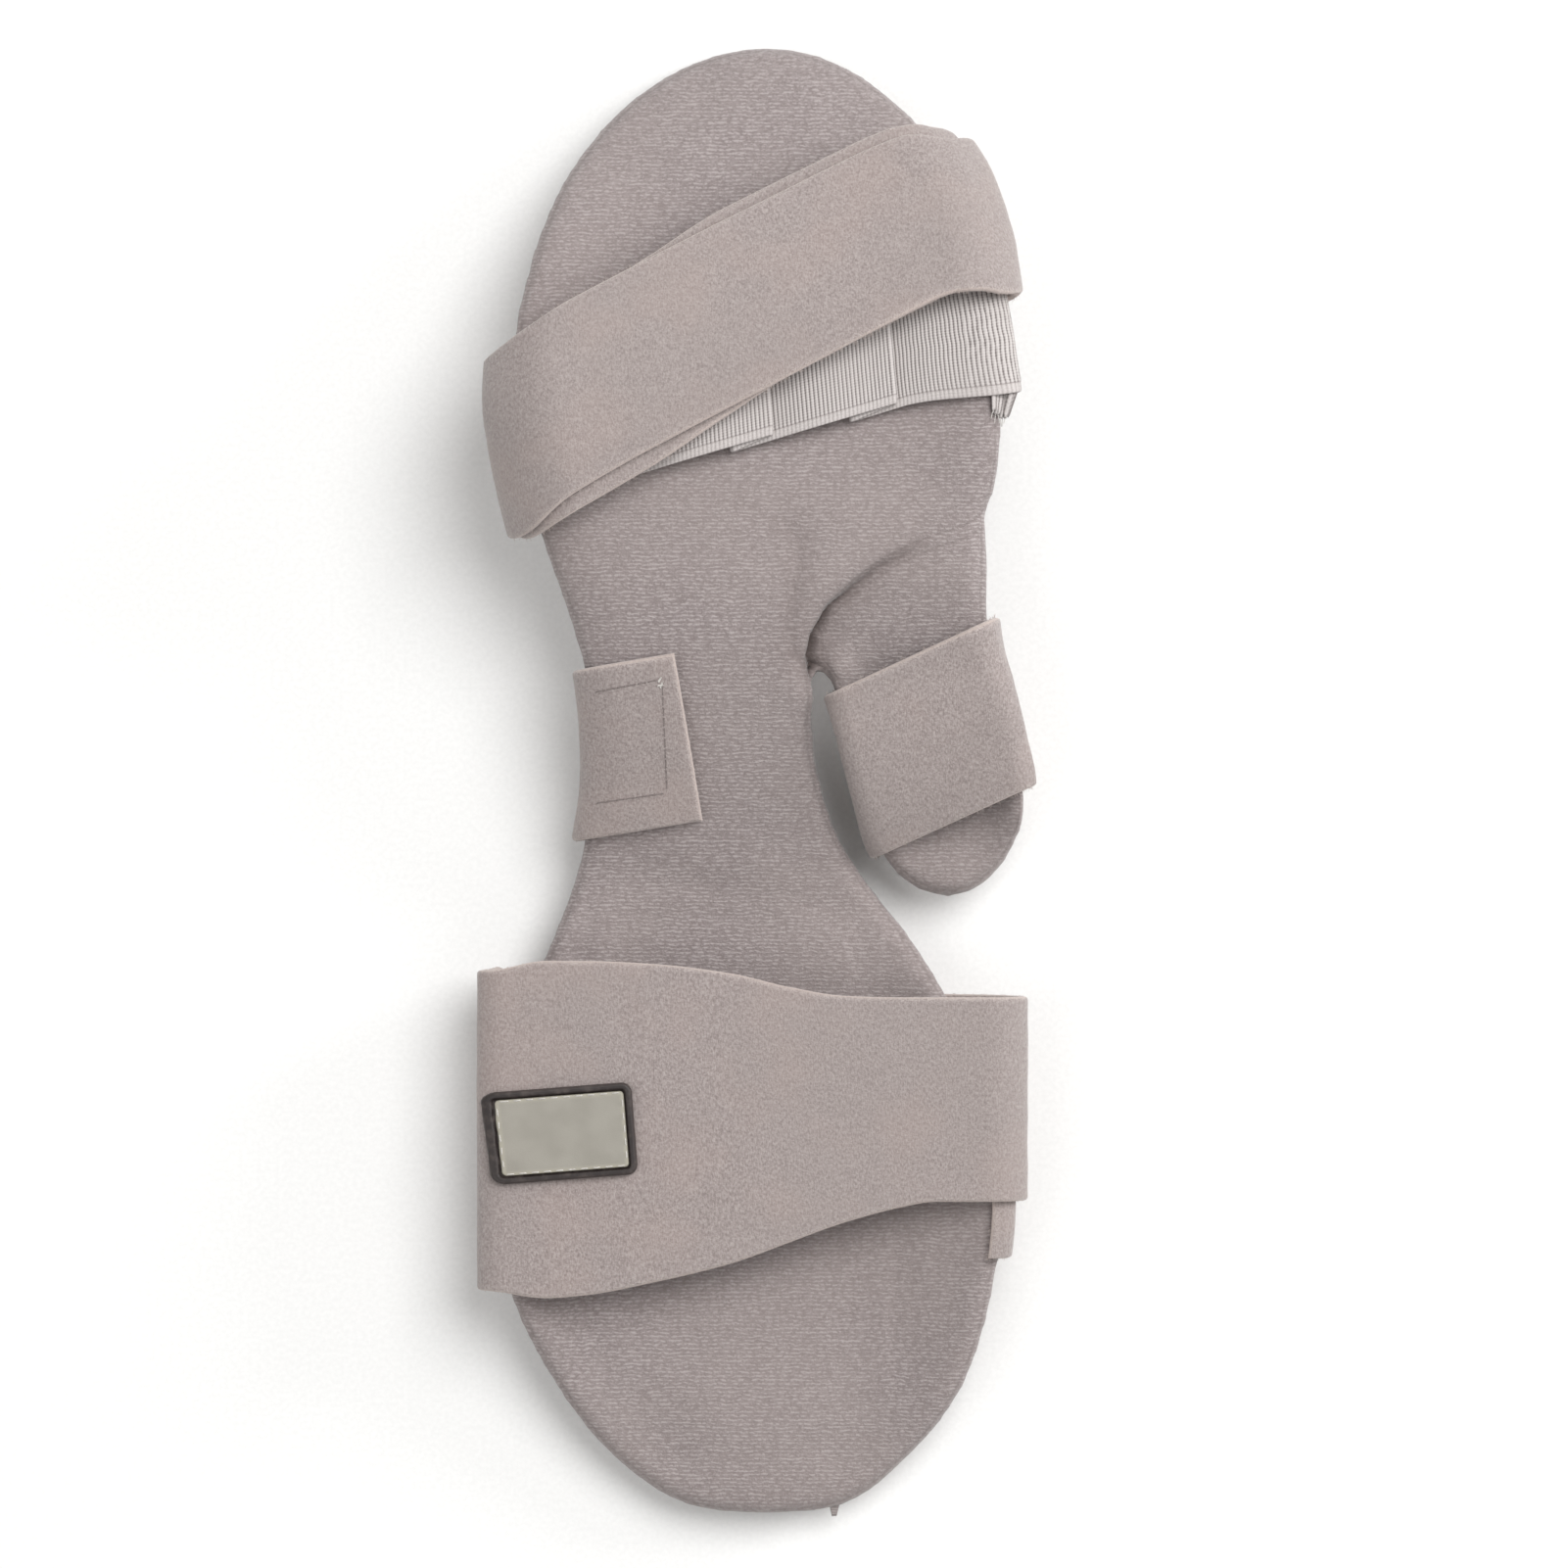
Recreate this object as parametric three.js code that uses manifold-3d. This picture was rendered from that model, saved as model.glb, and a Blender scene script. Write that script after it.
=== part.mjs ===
// Resting hand splint, lying on its back: a padded trough for forearm, wrist and fingers, a thumb trough
// that grows out of the palm's side, and the straps that close round them.
// Millimetres. +Y runs to the fingertips, +X to the thumb, +Z up, away from the surface it lies on.

import * as THREE from "three";
import { mergeVertices } from "three/addons/utils/BufferGeometryUtils.js";
import Module from "manifold-3d";

// Padded cover
const PAD_LENGTH = 354;
const PAD_THICKNESS = 12;
const PAD_EDGE_ROUND = 9; // how far in from the rim the padding reaches its full thickness
const FOREARM_WIDTH = 122.6;
const WRIST_WIDTH = 54.4;
const PAN_WIDTH = 115.4;
const PALM_RISE = 28.5; // how far the palm stands above the forearm's trough
const FOREARM_CUP = 14; // how far a trough's rims stand above its floor
const PAN_CUP = 7;
const FLAT_SHARE = 0.35; // flat middle of each trough, as a share of its half width

// Thumb trough
const THUMB_LENGTH = 97; // with the root that is sunk in the palm
const THUMB_WIDTH = 41.4;
const THUMB_X = 43;
const THUMB_Y = 0.0575 * PAD_LENGTH;
const THUMB_DROP = 23.5; // how far its tip lies below its root
const THUMB_ROOT_BELOW_PALM = 2.2;
const THUMB_TILT = 2; // how far the root's outer side stands above its middle
const THUMB_CUP = 14.5;
const THUMB_EDGE_ROUND = 7;

// Straps
const STRAP_WIDTH = 40;
const STRAP_THICKNESS = 2.4;
const STRAP_GAP = 0.35; // clearance between layers that touch
const STRAP_EASE = 0.6; // clearance between a taut strap and the padding that it goes round
const STRAP_STAND = 1.5; // how far a strap's front stands over its trough's rims
const STAND_ENDS = 0.85; // where that stops, as a share of the half width
const FOREARM_STRAP_AT = { x: 0, y: -0.2147 * PAD_LENGTH, turned: 0 };
const FOREARM_STRAP_NARROW = 48.6;
const FOREARM_WIDEST_Y = -0.275 * PAD_LENGTH;
const FOREARM_STRAP_WIDE = 80;
const FINGER_STRAP_AT = { x: 3, y: 0.324 * PAD_LENGTH, turned: 27.3 };
const THUMB_STRAP_AT = { x: THUMB_X, y: 0.0288 * PAD_LENGTH, turned: 24.6 };
const WRIST_STRAP_AT = { x: -13.7, y: 0.0297 * PAD_LENGTH, turned: 9.5 };
const ANCHOR_WIDTH = 38;
const ANCHOR_LENGTH = 23.5;
const ANCHOR_Y = -0.2684 * PAD_LENGTH;
const ANCHOR_FROM_MIDDLE = 56; // its end on the front, from the trough's middle
const ANCHOR_ROOM = { from: 0.62, to: 0.74 }; // where the strap rises over it, in shares of the half forearm

// Each strap's way round its trough, in turns: 0 above the trough's middle, 0.25 at the thumb side's rim, 0.5
// below the middle. climb, climbed: the turns between which it rises on to its own first layer.
const FOREARM_STRAP_WAY = { from: 0.665, to: -0.362, climb: -0.265, climbed: -0.325 };
const FINGER_STRAP_WAY = { from: 0.59, to: 2.42, climb: 1.4, climbed: 1.57 };
const THUMB_STRAP_WAY = { from: -0.44, to: 0.64, climb: 0.38, climbed: 0.53 };
const WRIST_STRAP_WAY = { from: -0.011, to: -0.6 };
const FRONT_TURN = 0.3; // the front of a wrap, with both rims

// Elastic finger loops
const ELASTIC_WIDTH = 38;
const ELASTIC_THICKNESS = 1.2;
const ELASTIC_AT = { x: 0, y: 0.224 * PAD_LENGTH, turned: 14.3 };
const ELASTIC_RIB_LEAN = 9; // degrees that the ribs lean back from square
const ELASTIC_TUCK = 12; // length that goes round the pan's rim to the back
const LOOP_BULGE = 1.5;
const LOOP_SLIP = 1.5; // how far each loop's edge drifts down the hand
const LOOP_ROOM = { from: 0.8, to: 1 }; // where the strap over the loops comes down, in shares of the half pan

// Label patch
const LABEL = {
  length: 34,
  width: 22,
  x: -45.9, // its middle, as a length along the forearm strap's front
  y: -0.2373 * PAD_LENGTH,
  turned: 4.5,
  base: 0.8,
  rim: 1.7,
  lip: 1,
  slope: 0.1, // run of the rim's inner wall
  face: 0.4,
  gap: 0.5,
  corner: 2.5,
};

// Seam tape's end
const TAIL = { length: 2.4, width: 3.4, thickness: 1, x: 18.6 };

// Fineness of the faceted surfaces
const PAD_ROW_STEP = 14;
const PAD_COLUMNS = 13;
const END_STEP = 0.115; // radians
const THUMB_COLUMNS = 12;
const RIM_STEPS = 180;
const HALVINGS = 12;
const SECTION_SAMPLES = 72;
const WRAP_DIRECTIONS = 96;
const TURN_WEIGHT = 16; // millimetres of path that one radian of bend counts as
const RING_POINTS = 120;
const FOREARM_FACES = { lines: 14, steps: 60, across: 5 };
const FINGER_FACES = { lines: 10, steps: 92, across: 4 };
const THUMB_FACES = { lines: 8, steps: 52, across: 3 };
const WRIST_FACES = { lines: 6, steps: 40, across: 3 };
const ANCHOR_FACES = { steps: 12, across: 3 };
const ELASTIC_LINES = 10;
const LABEL_FACES = { columns: 14, rows: 2 };
const LOOP_STEPS = 9;
const BEND_STEPS = 4;
const TUCK_STEPS = 4;
const LOOP_ROWS = 3;

const radians = THREE.MathUtils.degToRad;
const lerp = THREE.MathUtils.lerp;
const clamp = THREE.MathUtils.clamp;

// A table: the column names in one string, then its rows.
function table(names, rows) {
  const columns = names.split(" ");
  return rows.map((row) => Object.fromEntries(columns.map((name, i) => [name, row[i]])));
}

// Outline of the padded cover from above. along: share of half the length, 1 at the fingertips.
// left, right: shares of half the named width, from the splint's middle line.
const FOREARM_OUTLINE = table("along left right", [
  [-1, 0.019, 0.019],
  [-0.991, -0.25, 0.33],
  [-0.965, -0.395, 0.448],
  [-0.938, -0.505, 0.531],
  [-0.886, -0.664, 0.687],
  [-0.807, -0.812, 0.835],
  [-0.728, -0.937, 0.899],
  [-0.649, -1.009, 0.945],
  [-0.57, -1.04, 0.96],
  [-0.465, -1.025, 0.922],
  [-0.334, -0.941, 0.805],
  [-0.268, -0.865, 0.702],
]);
const WRIST_OUTLINE = table("along left right", [
  [-0.202, -1.778, 1.299],
  [-0.143, -1.632, 0.991],
  [-0.071, -1.513, 0.701],
  [-0.005, -1.453, 0.564],
  [0.047, -1.444, 0.504],
  [0.1, -1.462, 0.487],
  [0.152, -1.513, 0.479],
]);
const PAN_OUTLINE = table("along left right", [
  [0.185, -0.746, 0.238],
  [0.21, -0.766, 0.266],
  [0.234, -0.79, 0.323],
  [0.258, -0.815, 0.403],
  [0.281, -0.843, 0.5],
  [0.302, -0.865, 0.617],
  [0.317, -0.88, 0.73],
  [0.331, -0.893, 0.855],
  [0.352, -0.911, 0.94],
  [0.382, -0.935, 0.976],
  [0.442, -0.972, 1],
  [0.52, -1.004, 0.996],
  [0.612, -0.992, 0.98],
  [0.691, -0.94, 0.956],
  [0.77, -0.863, 0.903],
  [0.849, -0.734, 0.786],
  [0.901, -0.601, 0.637],
  [0.941, -0.464, 0.504],
  [0.974, -0.29, 0.351],
  [0.991, -0.153, 0.218],
  [1, 0.032, 0.032],
]);

// Side profile. rise: share of the palm's rise above the forearm. axis: the trough's middle as a share of
// half the forearm's width. forearm, pan: shares of those troughs' depths.
const PROFILE = table("along rise axis forearm pan", [
  [-1, 0, -0.03, 1, 0],
  [-0.2, 0, -0.03, 1, 0],
  [-0.14, 0.085, -0.1, 0.8, 0],
  [-0.07, 0.24, -0.2, 0.3, 0],
  [0, 0.42, -0.22, 0, 0.2],
  [0.07, 0.6, -0.2, 0, 0],
  [0.14, 0.76, -0.1, 0, -0.2],
  [0.21, 0.89, 0, 0, -0.45],
  [0.28, 0.97, 0, 0, -0.45],
  [0.36, 1, 0, 0, -0.1],
  [0.44, 0.97, 0, 0, 0.45],
  [0.54, 0.85, 0, 0, 1],
  [0.65, 0.66, 0, 0, 1],
  [0.78, 0.38, 0, 0, 0.9],
  [0.9, 0.06, 0, 0, 0.6],
  [1, -0.2, 0, 0, 0.4],
]);

// Outline of the thumb trough. along: share of half its length, -1 at its tip. left, right: shares of half
// its width. fall: share of its drop. cup: share of its trough's depth. tilt: share of its tilt.
const THUMB_OUTLINE = table("along left right", [
  [1, 0.022, 0.022],
  [0.962, -0.371, 0.33],
  [0.856, -0.708, 0.48],
  [0.664, -1.011, 0.5],
  [0.472, -1.258, 0.52],
  [0.329, -1.393, 0.573],
  [0.175, -1.404, 0.64],
  [0.041, -1.213, 0.73],
  [-0.199, -1.034, 0.865],
  [-0.439, -0.888, 0.989],
  [-0.583, -0.798, 1.011],
  [-0.679, -0.742, 0.978],
  [-0.784, -0.652, 0.865],
  [-0.871, -0.517, 0.708],
  [-0.942, -0.292, 0.528],
  [-1, 0.135, 0.135],
]);
const THUMB_PROFILE = table("along axis fall cup tilt", [
  [1, -0.1, 0, 0, 1],
  [0.6, -0.2, 0.04, 0, 1],
  [0.33, -0.35, 0.2, 0, 0.8],
  [0.05, -0.25, 0.47, 0.45, 0.3],
  [-0.2, -0.08, 0.7, 0.9, 0],
  [-0.5, 0.05, 0.88, 1, 0],
  [-0.75, 0.1, 0.96, 0.75, 0],
  [-1, 0.13, 1, 0.35, 0],
]);

// Shape of the forearm strap over the front. across: 1 at the thumb side's rim, -1 at the other. lower, upper:
// how far each edge has moved out, in shares of the growth from its narrow to its wide end.
const FOREARM_STRAP_SHAPE = table("across lower upper", [
  [-2, -0.68, 0.2],
  [-1.05, -0.68, 0.2],
  [-0.82, -0.733, 0.274],
  [-0.67, -0.711, 0.274],
  [-0.39, -0.607, 0.25],
  [-0.1, -0.467, 0.18],
  [0.12, -0.311, 0.08],
  [0.34, -0.156, 0.012],
  [0.56, -0.044, 0],
  [0.7, 0, 0],
  [2, 0, 0],
]);

// Edges of the finger strap. along: turns, the inner layer first, then the outer one from the second time below
// the pan. lower, upper: shares of the strap's width, from its line across the pan.
const FINGER_STRAP_EDGES = table("along lower upper", [
  [0.5, -0.5, 0.5],
  [0.66, -0.53, 0.48],
  [0.75, -0.645, 0.4],
  [0.825, -0.63, 0.42],
  [0.88, -0.605, 0.46],
  [0.94, -0.54, 0.52],
  [1, -0.49, 0.575],
  [1.1, -0.49, 0.575],
  [1.16, -0.56, 0.53],
  [1.25, -0.64, 0.36],
  [1.34, -0.54, 0.47],
  [1.42, -0.5, 0.5],
  [1.58, -0.5, 0.5],
  [1.67, -0.53, 0.47],
  [1.75, -0.61, 0.417],
  [1.825, -0.54, 0.455],
  [1.88, -0.515, 0.49],
  [2, -0.5, 0.505],
  [2.086, -0.49, 0.505],
  [2.13, -0.56, 0.48],
  [2.18, -0.66, 0.35],
  [2.25, -0.67, 0.29],
  [2.34, -0.54, 0.46],
  [2.42, -0.5, 0.5],
]);

// Pleats of the elastic band: where it folds back and where it turns on again, in shares of half the pan.
const PLEATS = table("fold turn", [
  [0.395, 0.591],
  [-0.107, 0.062],
  [-0.662, -0.52],
]);

// A smooth curve through one column of a table that never overshoots its rows.
function curveThrough(rows, column, measure) {
  const points = rows.map((row) => [measure(row.along), row[column]]).sort((a, b) => a[0] - b[0]);
  const slopes = points.slice(1).map((p, i) => (p[1] - points[i][1]) / (p[0] - points[i][0]));
  const tangents = points.map((_, i) => {
    if (i === 0) return slopes[0];
    if (i === points.length - 1) return slopes[i - 1];
    const product = slopes[i - 1] * slopes[i];
    return product <= 0 ? 0 : (2 * product) / (slopes[i - 1] + slopes[i]);
  });
  return (value) => {
    const at = measure(value);
    let i = 0;
    while (i < points.length - 2 && at > points[i + 1][0]) i += 1;
    const run = points[i + 1][0] - points[i][0];
    const t = clamp((at - points[i][0]) / run, 0, 1);
    const [a, b] = [points[i][1], points[i + 1][1]];
    const bend = (1 - t) * tangents[i] * run * t * (1 - t) - t * tangents[i + 1] * run * t * (1 - t);
    return a + (b - a) * t * t * (3 - 2 * t) + bend;
  };
}
const straight = (along) => along;
const rounded = (along) => -Math.acos(clamp(along, -1, 1)); // makes the two ends of an outline round

// A closed geometry from points and triangles, turned so that its faces point out.
function closedGeometry(points, triangles) {
  const position = new Float32Array(points.flatMap((p) => [p.x, p.y, p.z]));
  let volume = 0;
  triangles.forEach(([a, b, c]) => {
    volume += points[a].dot(new THREE.Vector3().crossVectors(points[b], points[c]));
  });
  const faces = volume > 0 ? triangles : triangles.map(([a, b, c]) => [a, c, b]);
  const geometry = new THREE.BufferGeometry();
  geometry.setAttribute("position", new THREE.BufferAttribute(position, 3));
  geometry.setIndex(faces.flat());
  geometry.computeVertexNormals();
  return geometry;
}

// A sheet of the given thickness as one solid: pointAt(i, j, side) with side 0 inside and 1 outside.
function sheetGeometry(columns, rows, pointAt) {
  const points = [];
  const triangles = [];
  const index = (i, j, side) => (side * (rows + 1) + j) * (columns + 1) + i;
  for (let side = 0; side <= 1; side += 1)
    for (let j = 0; j <= rows; j += 1)
      for (let i = 0; i <= columns; i += 1) points.push(pointAt(i, j, side));
  const quad = (a, b, c, d) => triangles.push([a, b, c], [a, c, d]);
  for (let j = 0; j < rows; j += 1)
    for (let i = 0; i < columns; i += 1) {
      quad(index(i, j, 1), index(i + 1, j, 1), index(i + 1, j + 1, 1), index(i, j + 1, 1));
      quad(index(i, j, 0), index(i, j + 1, 0), index(i + 1, j + 1, 0), index(i + 1, j, 0));
    }
  for (let i = 0; i < columns; i += 1) {
    quad(index(i, 0, 0), index(i + 1, 0, 0), index(i + 1, 0, 1), index(i, 0, 1));
    quad(index(i, rows, 0), index(i, rows, 1), index(i + 1, rows, 1), index(i + 1, rows, 0));
  }
  for (let j = 0; j < rows; j += 1) {
    quad(index(0, j, 0), index(0, j, 1), index(0, j + 1, 1), index(0, j + 1, 0));
    quad(index(columns, j, 0), index(columns, j + 1, 0), index(columns, j + 1, 1), index(columns, j, 1));
  }
  return closedGeometry(points, triangles);
}

// Padding of one outline: left and right rims, middle surface and thickness, all worked out at any x and y.
class Padding {
  constructor({ centre, length, left, right, middle, edgeRound, stations }) {
    Object.assign(this, { centre, length, left, right, middle, edgeRound, stations });
    const turns = Array.from({ length: RIM_STEPS + 1 }, (_, i) => -Math.cos((Math.PI * i) / RIM_STEPS));
    const rim = (side) => turns.map((along) => [this[side](along), this.yAt(along)]);
    this.outline = [...rim("left"), ...rim("right").reverse().slice(1, -1)];
  }
  yAt(along) {
    return this.centre + (along * this.length) / 2;
  }
  alongAt(y) {
    return (2 * (y - this.centre)) / this.length;
  }
  isInside(x, y) {
    const along = this.alongAt(y);
    return Math.abs(along) < 1 && x > this.left(along) && x < this.right(along);
  }
  rimDistance(x, y) {
    let least = Infinity;
    this.outline.forEach(([ax, ay], i) => {
      const [bx, by] = this.outline[(i + 1) % this.outline.length];
      const run = (bx - ax) ** 2 + (by - ay) ** 2;
      const t = clamp(((x - ax) * (bx - ax) + (y - ay) * (by - ay)) / run, 0, 1);
      least = Math.min(least, Math.hypot(x - lerp(ax, bx, t), y - lerp(ay, by, t)));
    });
    return least;
  }
  halfThickness(x, y) {
    const share = Math.min(this.rimDistance(x, y) / this.edgeRound, 1);
    return (PAD_THICKNESS / 2) * Math.sqrt(1 - (1 - share) ** 2);
  }
  heightAt(x, y, side) {
    return this.middle(x, y) + side * this.halfThickness(x, y);
  }
  // Rows lie on the outline's stations and between those that are further apart than a step: in millimetres
  // along the length, or as an angle round the two ends. Columns lie closer together near the rims.
  geometry(rowStep, columns) {
    const marks = this.stations.map((row) => rounded(row.along)).sort((a, b) => a - b);
    const along = (mark) => Math.cos(mark);
    const rows = marks.slice(1).flatMap((to, i) => {
      const run = ((along(to) - along(marks[i])) * this.length) / 2;
      const parts = Math.ceil(Math.max(run / rowStep, (to - marks[i]) / END_STEP));
      return Array.from({ length: parts }, (_, k) => along(lerp(marks[i], to, k / parts)));
    }).slice(1);
    const points = [];
    const pole = (along) => {
      const x = this.left(along);
      const y = this.yAt(along);
      return points.push(new THREE.Vector3(x, y, this.middle(x, y))) - 1;
    };
    const bottomPole = pole(-1);
    const topPole = pole(1);
    const ring = rows.map((along) => {
      const y = this.yAt(along);
      const place = (step, side) => {
        const x = lerp(this.left(along), this.right(along), (1 - Math.cos((Math.PI * step) / columns)) / 2);
        const z = side === 0 ? this.middle(x, y) : this.heightAt(x, y, side);
        return points.push(new THREE.Vector3(x, y, z)) - 1;
      };
      const inner = Array.from({ length: columns - 1 }, (_, i) => i + 1);
      const upper = inner.map((step) => place(step, 1));
      const end = place(columns, 0);
      const lower = inner.reverse().map((step) => place(step, -1));
      return [place(0, 0), ...upper, end, ...lower];
    });
    const triangles = [];
    const around = ring[0].length;
    ring[0].forEach((a, i) => triangles.push([bottomPole, ring[0][(i + 1) % around], a]));
    ring.slice(1).forEach((row, r) => {
      row.forEach((_, i) => {
        const next = (i + 1) % around;
        triangles.push([ring[r][i], ring[r][next], row[next]], [ring[r][i], row[next], row[i]]);
      });
    });
    const last = ring[ring.length - 1];
    last.forEach((a, i) => triangles.push([topPole, a, last[(i + 1) % around]]));
    return closedGeometry(points, triangles);
  }
}

// What goes round a padding: closed rings in upright planes along one direction. A taut ring is the hull
// of the section, pushed out by packing(s); otherwise it follows the section itself. A stiff wrap keeps
// the width of the section at stiffAt, so that it stands off where the padding narrows.
class Wrap {
  constructor({ padding, at, from, to, lines, taut, packing, stiffAt }) {
    Object.assign(this, { padding, at, from, to, lines, taut, packing });
    this.cos = Math.cos(radians(at.turned));
    this.sin = Math.sin(radians(at.turned));
    this.widest = stiffAt === undefined ? [] : this.section(stiffAt);
    this.rings = Array.from({ length: lines + 1 }, (_, i) => this.ring(lerp(from, to, i / lines)));
  }
  place(s, q) {
    return [this.at.x + s * this.cos - q * this.sin, this.at.y + s * this.sin + q * this.cos];
  }
  // How far the padding reaches along the line at q, on one side.
  reach(q, side) {
    let inside = 0;
    while (this.padding.isInside(...this.place(side * (inside + 1), q))) inside += 1;
    let outside = inside + 1;
    for (let i = 0; i < HALVINGS; i += 1) {
      const half = (inside + outside) / 2;
      if (this.padding.isInside(...this.place(side * half, q))) inside = half;
      else outside = half;
    }
    return side * inside;
  }
  section(q) {
    const [low, high] = [this.reach(q, -1), this.reach(q, 1)];
    const side = (sign) =>
      Array.from({ length: SECTION_SAMPLES + 1 }, (_, i) => {
        const share = -Math.cos((Math.PI * i) / SECTION_SAMPLES); // -1 and 1 are the two rims
        const s = lerp(low, high, (1 + share) / 2);
        return { s, z: this.padding.heightAt(...this.place(s, q), sign), sign, share };
      });
    return [...side(1), ...side(-1).reverse().slice(1, -1)];
  }
  // Corners of the hull, from its support in every direction, clockwise as seen along the wrap.
  hull(section) {
    const step = (2 * Math.PI) / WRAP_DIRECTIONS;
    const support = Array.from({ length: WRAP_DIRECTIONS }, (_, i) => {
      const [u, v] = [Math.cos(i * step), Math.sin(i * step)];
      return Math.max(...section.map((p) => p.s * u + p.z * v + this.packing(p)));
    });
    const corners = support.map((h, i) => {
      const next = support[(i + 1) % WRAP_DIRECTIONS];
      const slide = (next - h * Math.cos(step)) / Math.sin(step);
      const [u, v] = [Math.cos(i * step), Math.sin(i * step)];
      return { s: h * u - slide * v, z: h * v + slide * u };
    });
    return corners.reverse();
  }
  ring(q) {
    const section = this.section(q);
    const corners = this.taut ? this.hull([...section, ...this.widest]) : section;
    const count = corners.length;
    const edges = corners.map((a, i) => {
      const b = corners[(i + 1) % count];
      return { a, b, length: Math.hypot(b.s - a.s, b.z - a.z), angle: Math.atan2(b.z - a.z, b.s - a.s) };
    });
    const solid = edges.filter((edge) => edge.length > 1e-6);
    const bend = (one, two) => Math.abs(Math.atan2(Math.sin(two - one), Math.cos(two - one)));
    let measure = 0;
    let arc = 0;
    const marks = solid.map((edge, i) => {
      const before = solid[(i + solid.length - 1) % solid.length];
      measure += TURN_WEIGHT * bend(before.angle, edge.angle);
      const mark = { ...edge, measure, arc };
      measure += edge.length;
      arc += edge.length;
      return mark;
    });
    // The ring starts above the middle of the section, where s passes 0 on the upper side.
    const floor = Math.min(...corners.map((c) => c.z));
    const roof = Math.max(...corners.map((c) => c.z));
    const start = marks.find((m) => m.a.s <= 0 && m.b.s > 0 && m.a.z > (floor + roof) / 2);
    const share = -start.a.s / (start.b.s - start.a.s);
    const measure0 = start.measure + share * start.length;
    const arc0 = start.arc + share * start.length;
    const onRing = (target) => {
      const wanted = (((measure0 + target * measure) % measure) + measure) % measure;
      let i = marks.length - 1;
      while (i > 0 && marks[i].measure > wanted) i -= 1;
      const mark = marks[i];
      const t = clamp((wanted - mark.measure) / mark.length, 0, 1);
      const sunk = ((mark.arc + t * mark.length - arc0) % arc + arc) % arc;
      return { s: lerp(mark.a.s, mark.b.s, t), z: lerp(mark.a.z, mark.b.z, t), arc: sunk };
    };
    const points = Array.from({ length: RING_POINTS }, (_, i) => onRing(i / RING_POINTS));
    points.forEach((p, i) => {
      const before = points[(i + RING_POINTS - 1) % RING_POINTS];
      const after = points[(i + 1) % RING_POINTS];
      const run = Math.hypot(after.s - before.s, after.z - before.z);
      p.normal = [-(after.z - before.z) / run, (after.s - before.s) / run];
    });
    points[0].arc = 0;
    return { points, perimeter: arc };
  }
  // A point on one ring, a share of a turn on from its start, clockwise, and out along its normal.
  onRing(ring, turn, out) {
    const at = (((turn % 1) + 1) % 1) * RING_POINTS;
    const i = Math.floor(at) % RING_POINTS;
    const [a, b] = [ring.points[i], ring.points[(i + 1) % RING_POINTS]];
    const t = at - Math.floor(at);
    const normal = [lerp(a.normal[0], b.normal[0], t), lerp(a.normal[1], b.normal[1], t)];
    const size = Math.hypot(...normal);
    return [
      lerp(a.s, b.s, t) + (out * normal[0]) / size,
      lerp(a.z, b.z, t) + (out * normal[1]) / size,
    ];
  }
  // A point between the two rings next to q, from what onEach gives on either.
  between(q, onEach) {
    const line = clamp(((q - this.from) / (this.to - this.from)) * this.lines, 0, this.lines);
    const i = Math.min(Math.floor(line), this.lines - 1);
    const [a, b] = [onEach(this.rings[i]), onEach(this.rings[i + 1])];
    const [s, z] = [lerp(a[0], b[0], line - i), lerp(a[1], b[1], line - i)];
    const [x, y] = this.place(s, q);
    return new THREE.Vector3(x, y, z);
  }
  point(q, turn, out) {
    return this.between(q, (ring) => this.onRing(ring, turn, out));
  }
  // The turn at which a ring has run a length from its start, anticlockwise where the length is negative.
  turnOn(ring, length) {
    const wanted = ((length % ring.perimeter) + ring.perimeter) % ring.perimeter;
    const arcs = [...ring.points.map((p) => p.arc), ring.perimeter];
    let i = 0;
    while (i < RING_POINTS - 1 && arcs[i + 1] < wanted) i += 1;
    const turn = (i + (wanted - arcs[i]) / (arcs[i + 1] - arcs[i])) / RING_POINTS;
    return length < 0 ? turn - 1 : turn;
  }
  ringNear(q) {
    const line = Math.round(((q - this.from) / (this.to - this.from)) * this.lines);
    return this.rings[clamp(line, 0, this.lines)];
  }
  // The length from a ring's start to its furthest point on one side.
  rimLength(ring, side) {
    const rim = ring.points.reduce((best, p) => (side * p.s > side * best.s ? p : best));
    return side > 0 ? rim.arc : rim.arc - ring.perimeter;
  }
  pointAlong(q, length, out) {
    return this.between(q, (ring) => this.onRing(ring, this.turnOn(ring, length), out));
  }
}

const layerStep = STRAP_THICKNESS + STRAP_GAP;
const eased = () => STRAP_EASE;
const smoothly = (value, from, to) => THREE.MathUtils.smoothstep(value, from, to);
const plainEdges = () => [-STRAP_WIDTH / 2, STRAP_WIDTH / 2];
const plainReach = { from: -STRAP_WIDTH / 2, to: STRAP_WIDTH / 2, taut: true };
const standing = (p) => (p.sign < 0 ? 0 : STRAP_STAND * (1 - smoothly(Math.abs(p.share), STAND_ENDS, 1)));

// How far a strap's inner face stands off the ring at a turn.
function levelOn({ climb, climbed }, turn) {
  if (climb === undefined) return 0;
  const way = Math.sign(climbed - climb);
  return layerStep * smoothly(way * turn, way * climb, way * climbed);
}

// A strap on a wrap. edges(turn) gives its lower and upper edge.
function strapGeometry(wrap, way, { steps, across }, edges) {
  return sheetGeometry(steps, across, (i, j, side) => {
    const turn = lerp(way.from, way.to, i / steps);
    const [lower, upper] = edges(turn);
    return wrap.point(lerp(lower, upper, j / across), turn, levelOn(way, turn) + side * STRAP_THICKNESS);
  });
}

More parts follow.
